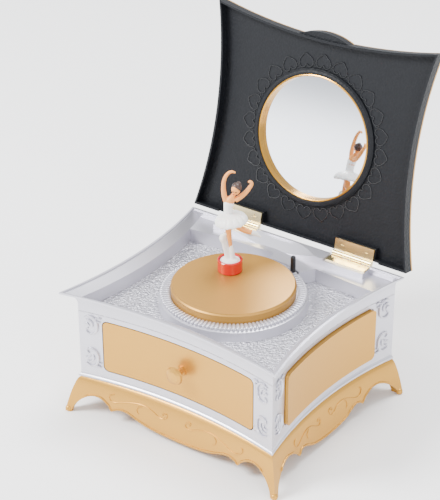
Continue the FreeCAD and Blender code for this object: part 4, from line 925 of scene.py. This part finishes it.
class MUSIC_BOX_OT_apron_flourishes(bpy.types.Operator):
    """Adds the flourishes on the aprons"""

    bl_idname = "music_box.apron_flourishes"
    bl_label = "Apron flourishes"

    def execute(self, context):
        make_apron_flourishes()
        return {"FINISHED"}


class MUSIC_BOX_OT_apron_borders(bpy.types.Operator):
    """Adds the raised borders along the aprons"""

    bl_idname = "music_box.apron_borders"
    bl_label = "Apron borders"

    def execute(self, context):
        make_apron_borders()
        return {"FINISHED"}


class MUSIC_BOX_OT_liner_hearts(bpy.types.Operator):
    """Adds the ring of hearts in the lid"""

    bl_idname = "music_box.liner_hearts"
    bl_label = "Liner hearts"

    def execute(self, context):
        make_liner_hearts()
        return {"FINISHED"}


class MUSIC_BOX_OT_dancer_skin(bpy.types.Operator):
    """Adds the dancer's head, arms and legs"""

    bl_idname = "music_box.dancer_skin"
    bl_label = "Dancer"

    def execute(self, context):
        make_dancer_skin()
        return {"FINISHED"}


class MUSIC_BOX_OT_dancer_dress(bpy.types.Operator):
    """Adds the dancer's bodice and tutu"""

    bl_idname = "music_box.dancer_dress"
    bl_label = "Dress"

    def execute(self, context):
        make_dancer_dress()
        return {"FINISHED"}


class MUSIC_BOX_OT_dancer_support(bpy.types.Operator):
    """Adds the dancer's shoes, flowers and mound"""

    bl_idname = "music_box.dancer_support"
    bl_label = "Support"

    def execute(self, context):
        make_dancer_support()
        return {"FINISHED"}


class MUSIC_BOX_OT_dancer_hair(bpy.types.Operator):
    """Adds the dancer's hair"""

    bl_idname = "music_box.dancer_hair"
    bl_label = "Hair"

    def execute(self, context):
        make_dancer_hair()
        return {"FINISHED"}


class MUSIC_BOX_OT_dancer_face(bpy.types.Operator):
    """Adds the dancer's painted eyes and lips"""

    bl_idname = "music_box.dancer_face"
    bl_label = "Face"

    def execute(self, context):
        make_dancer_face()
        return {"FINISHED"}


class MUSIC_BOX_OT_studio(bpy.types.Operator):
    """Adds the floor, the lights and the camera"""

    bl_idname = "music_box.studio"
    bl_label = "Studio"

    def execute(self, context):
        make_stage()
        return {"FINISHED"}


OPERATORS = [
    MUSIC_BOX_OT_finish_nodes,
    MUSIC_BOX_OT_stage_flutes,
    MUSIC_BOX_OT_wall_scrolls,
    MUSIC_BOX_OT_apron_flourishes,
    MUSIC_BOX_OT_apron_borders,
    MUSIC_BOX_OT_liner_hearts,
    MUSIC_BOX_OT_dancer_skin,
    MUSIC_BOX_OT_dancer_dress,
    MUSIC_BOX_OT_dancer_support,
    MUSIC_BOX_OT_dancer_hair,
    MUSIC_BOX_OT_dancer_face,
    MUSIC_BOX_OT_studio,
]


class MUSIC_BOX_PT_panel(bpy.types.Panel):
    """Lists the music box's settings and pieces."""

    bl_idname = "MUSIC_BOX_PT_panel"
    bl_label = "Music box"
    bl_space_type = "VIEW_3D"
    bl_region_type = "UI"
    bl_category = "Music Box"

    def draw(self, context):
        for group in ("colours", "ornament", "dancer", "stage"):
            box = self.layout.box()
            values = getattr(context.scene.music_box, group)
            for name in values.__annotations__:
                box.prop(values, name)
        for operator in OPERATORS:
            self.layout.operator(operator.bl_idname)


SETTINGS = [FinishColours, OrnamentSizes, DancerSizes, StageSettings, MusicBoxSettings]
CLASSES = [*SETTINGS, *OPERATORS, MUSIC_BOX_PT_panel]


def register():
    """Adds the settings, the operators and the panel."""
    for item in CLASSES:
        bpy.utils.register_class(item)
    bpy.types.Scene.music_box = PointerProperty(type=MusicBoxSettings)


def unregister():
    """Takes the panel, the operators and the settings away."""
    del bpy.types.Scene.music_box
    for item in reversed(CLASSES):
        bpy.utils.unregister_class(item)


def main():
    """Makes every piece in order."""
    register()
    for operator in OPERATORS:
        family, name = operator.bl_idname.split(".")
        getattr(getattr(bpy.ops, family), name)()


if __name__ == "__main__":
    main()
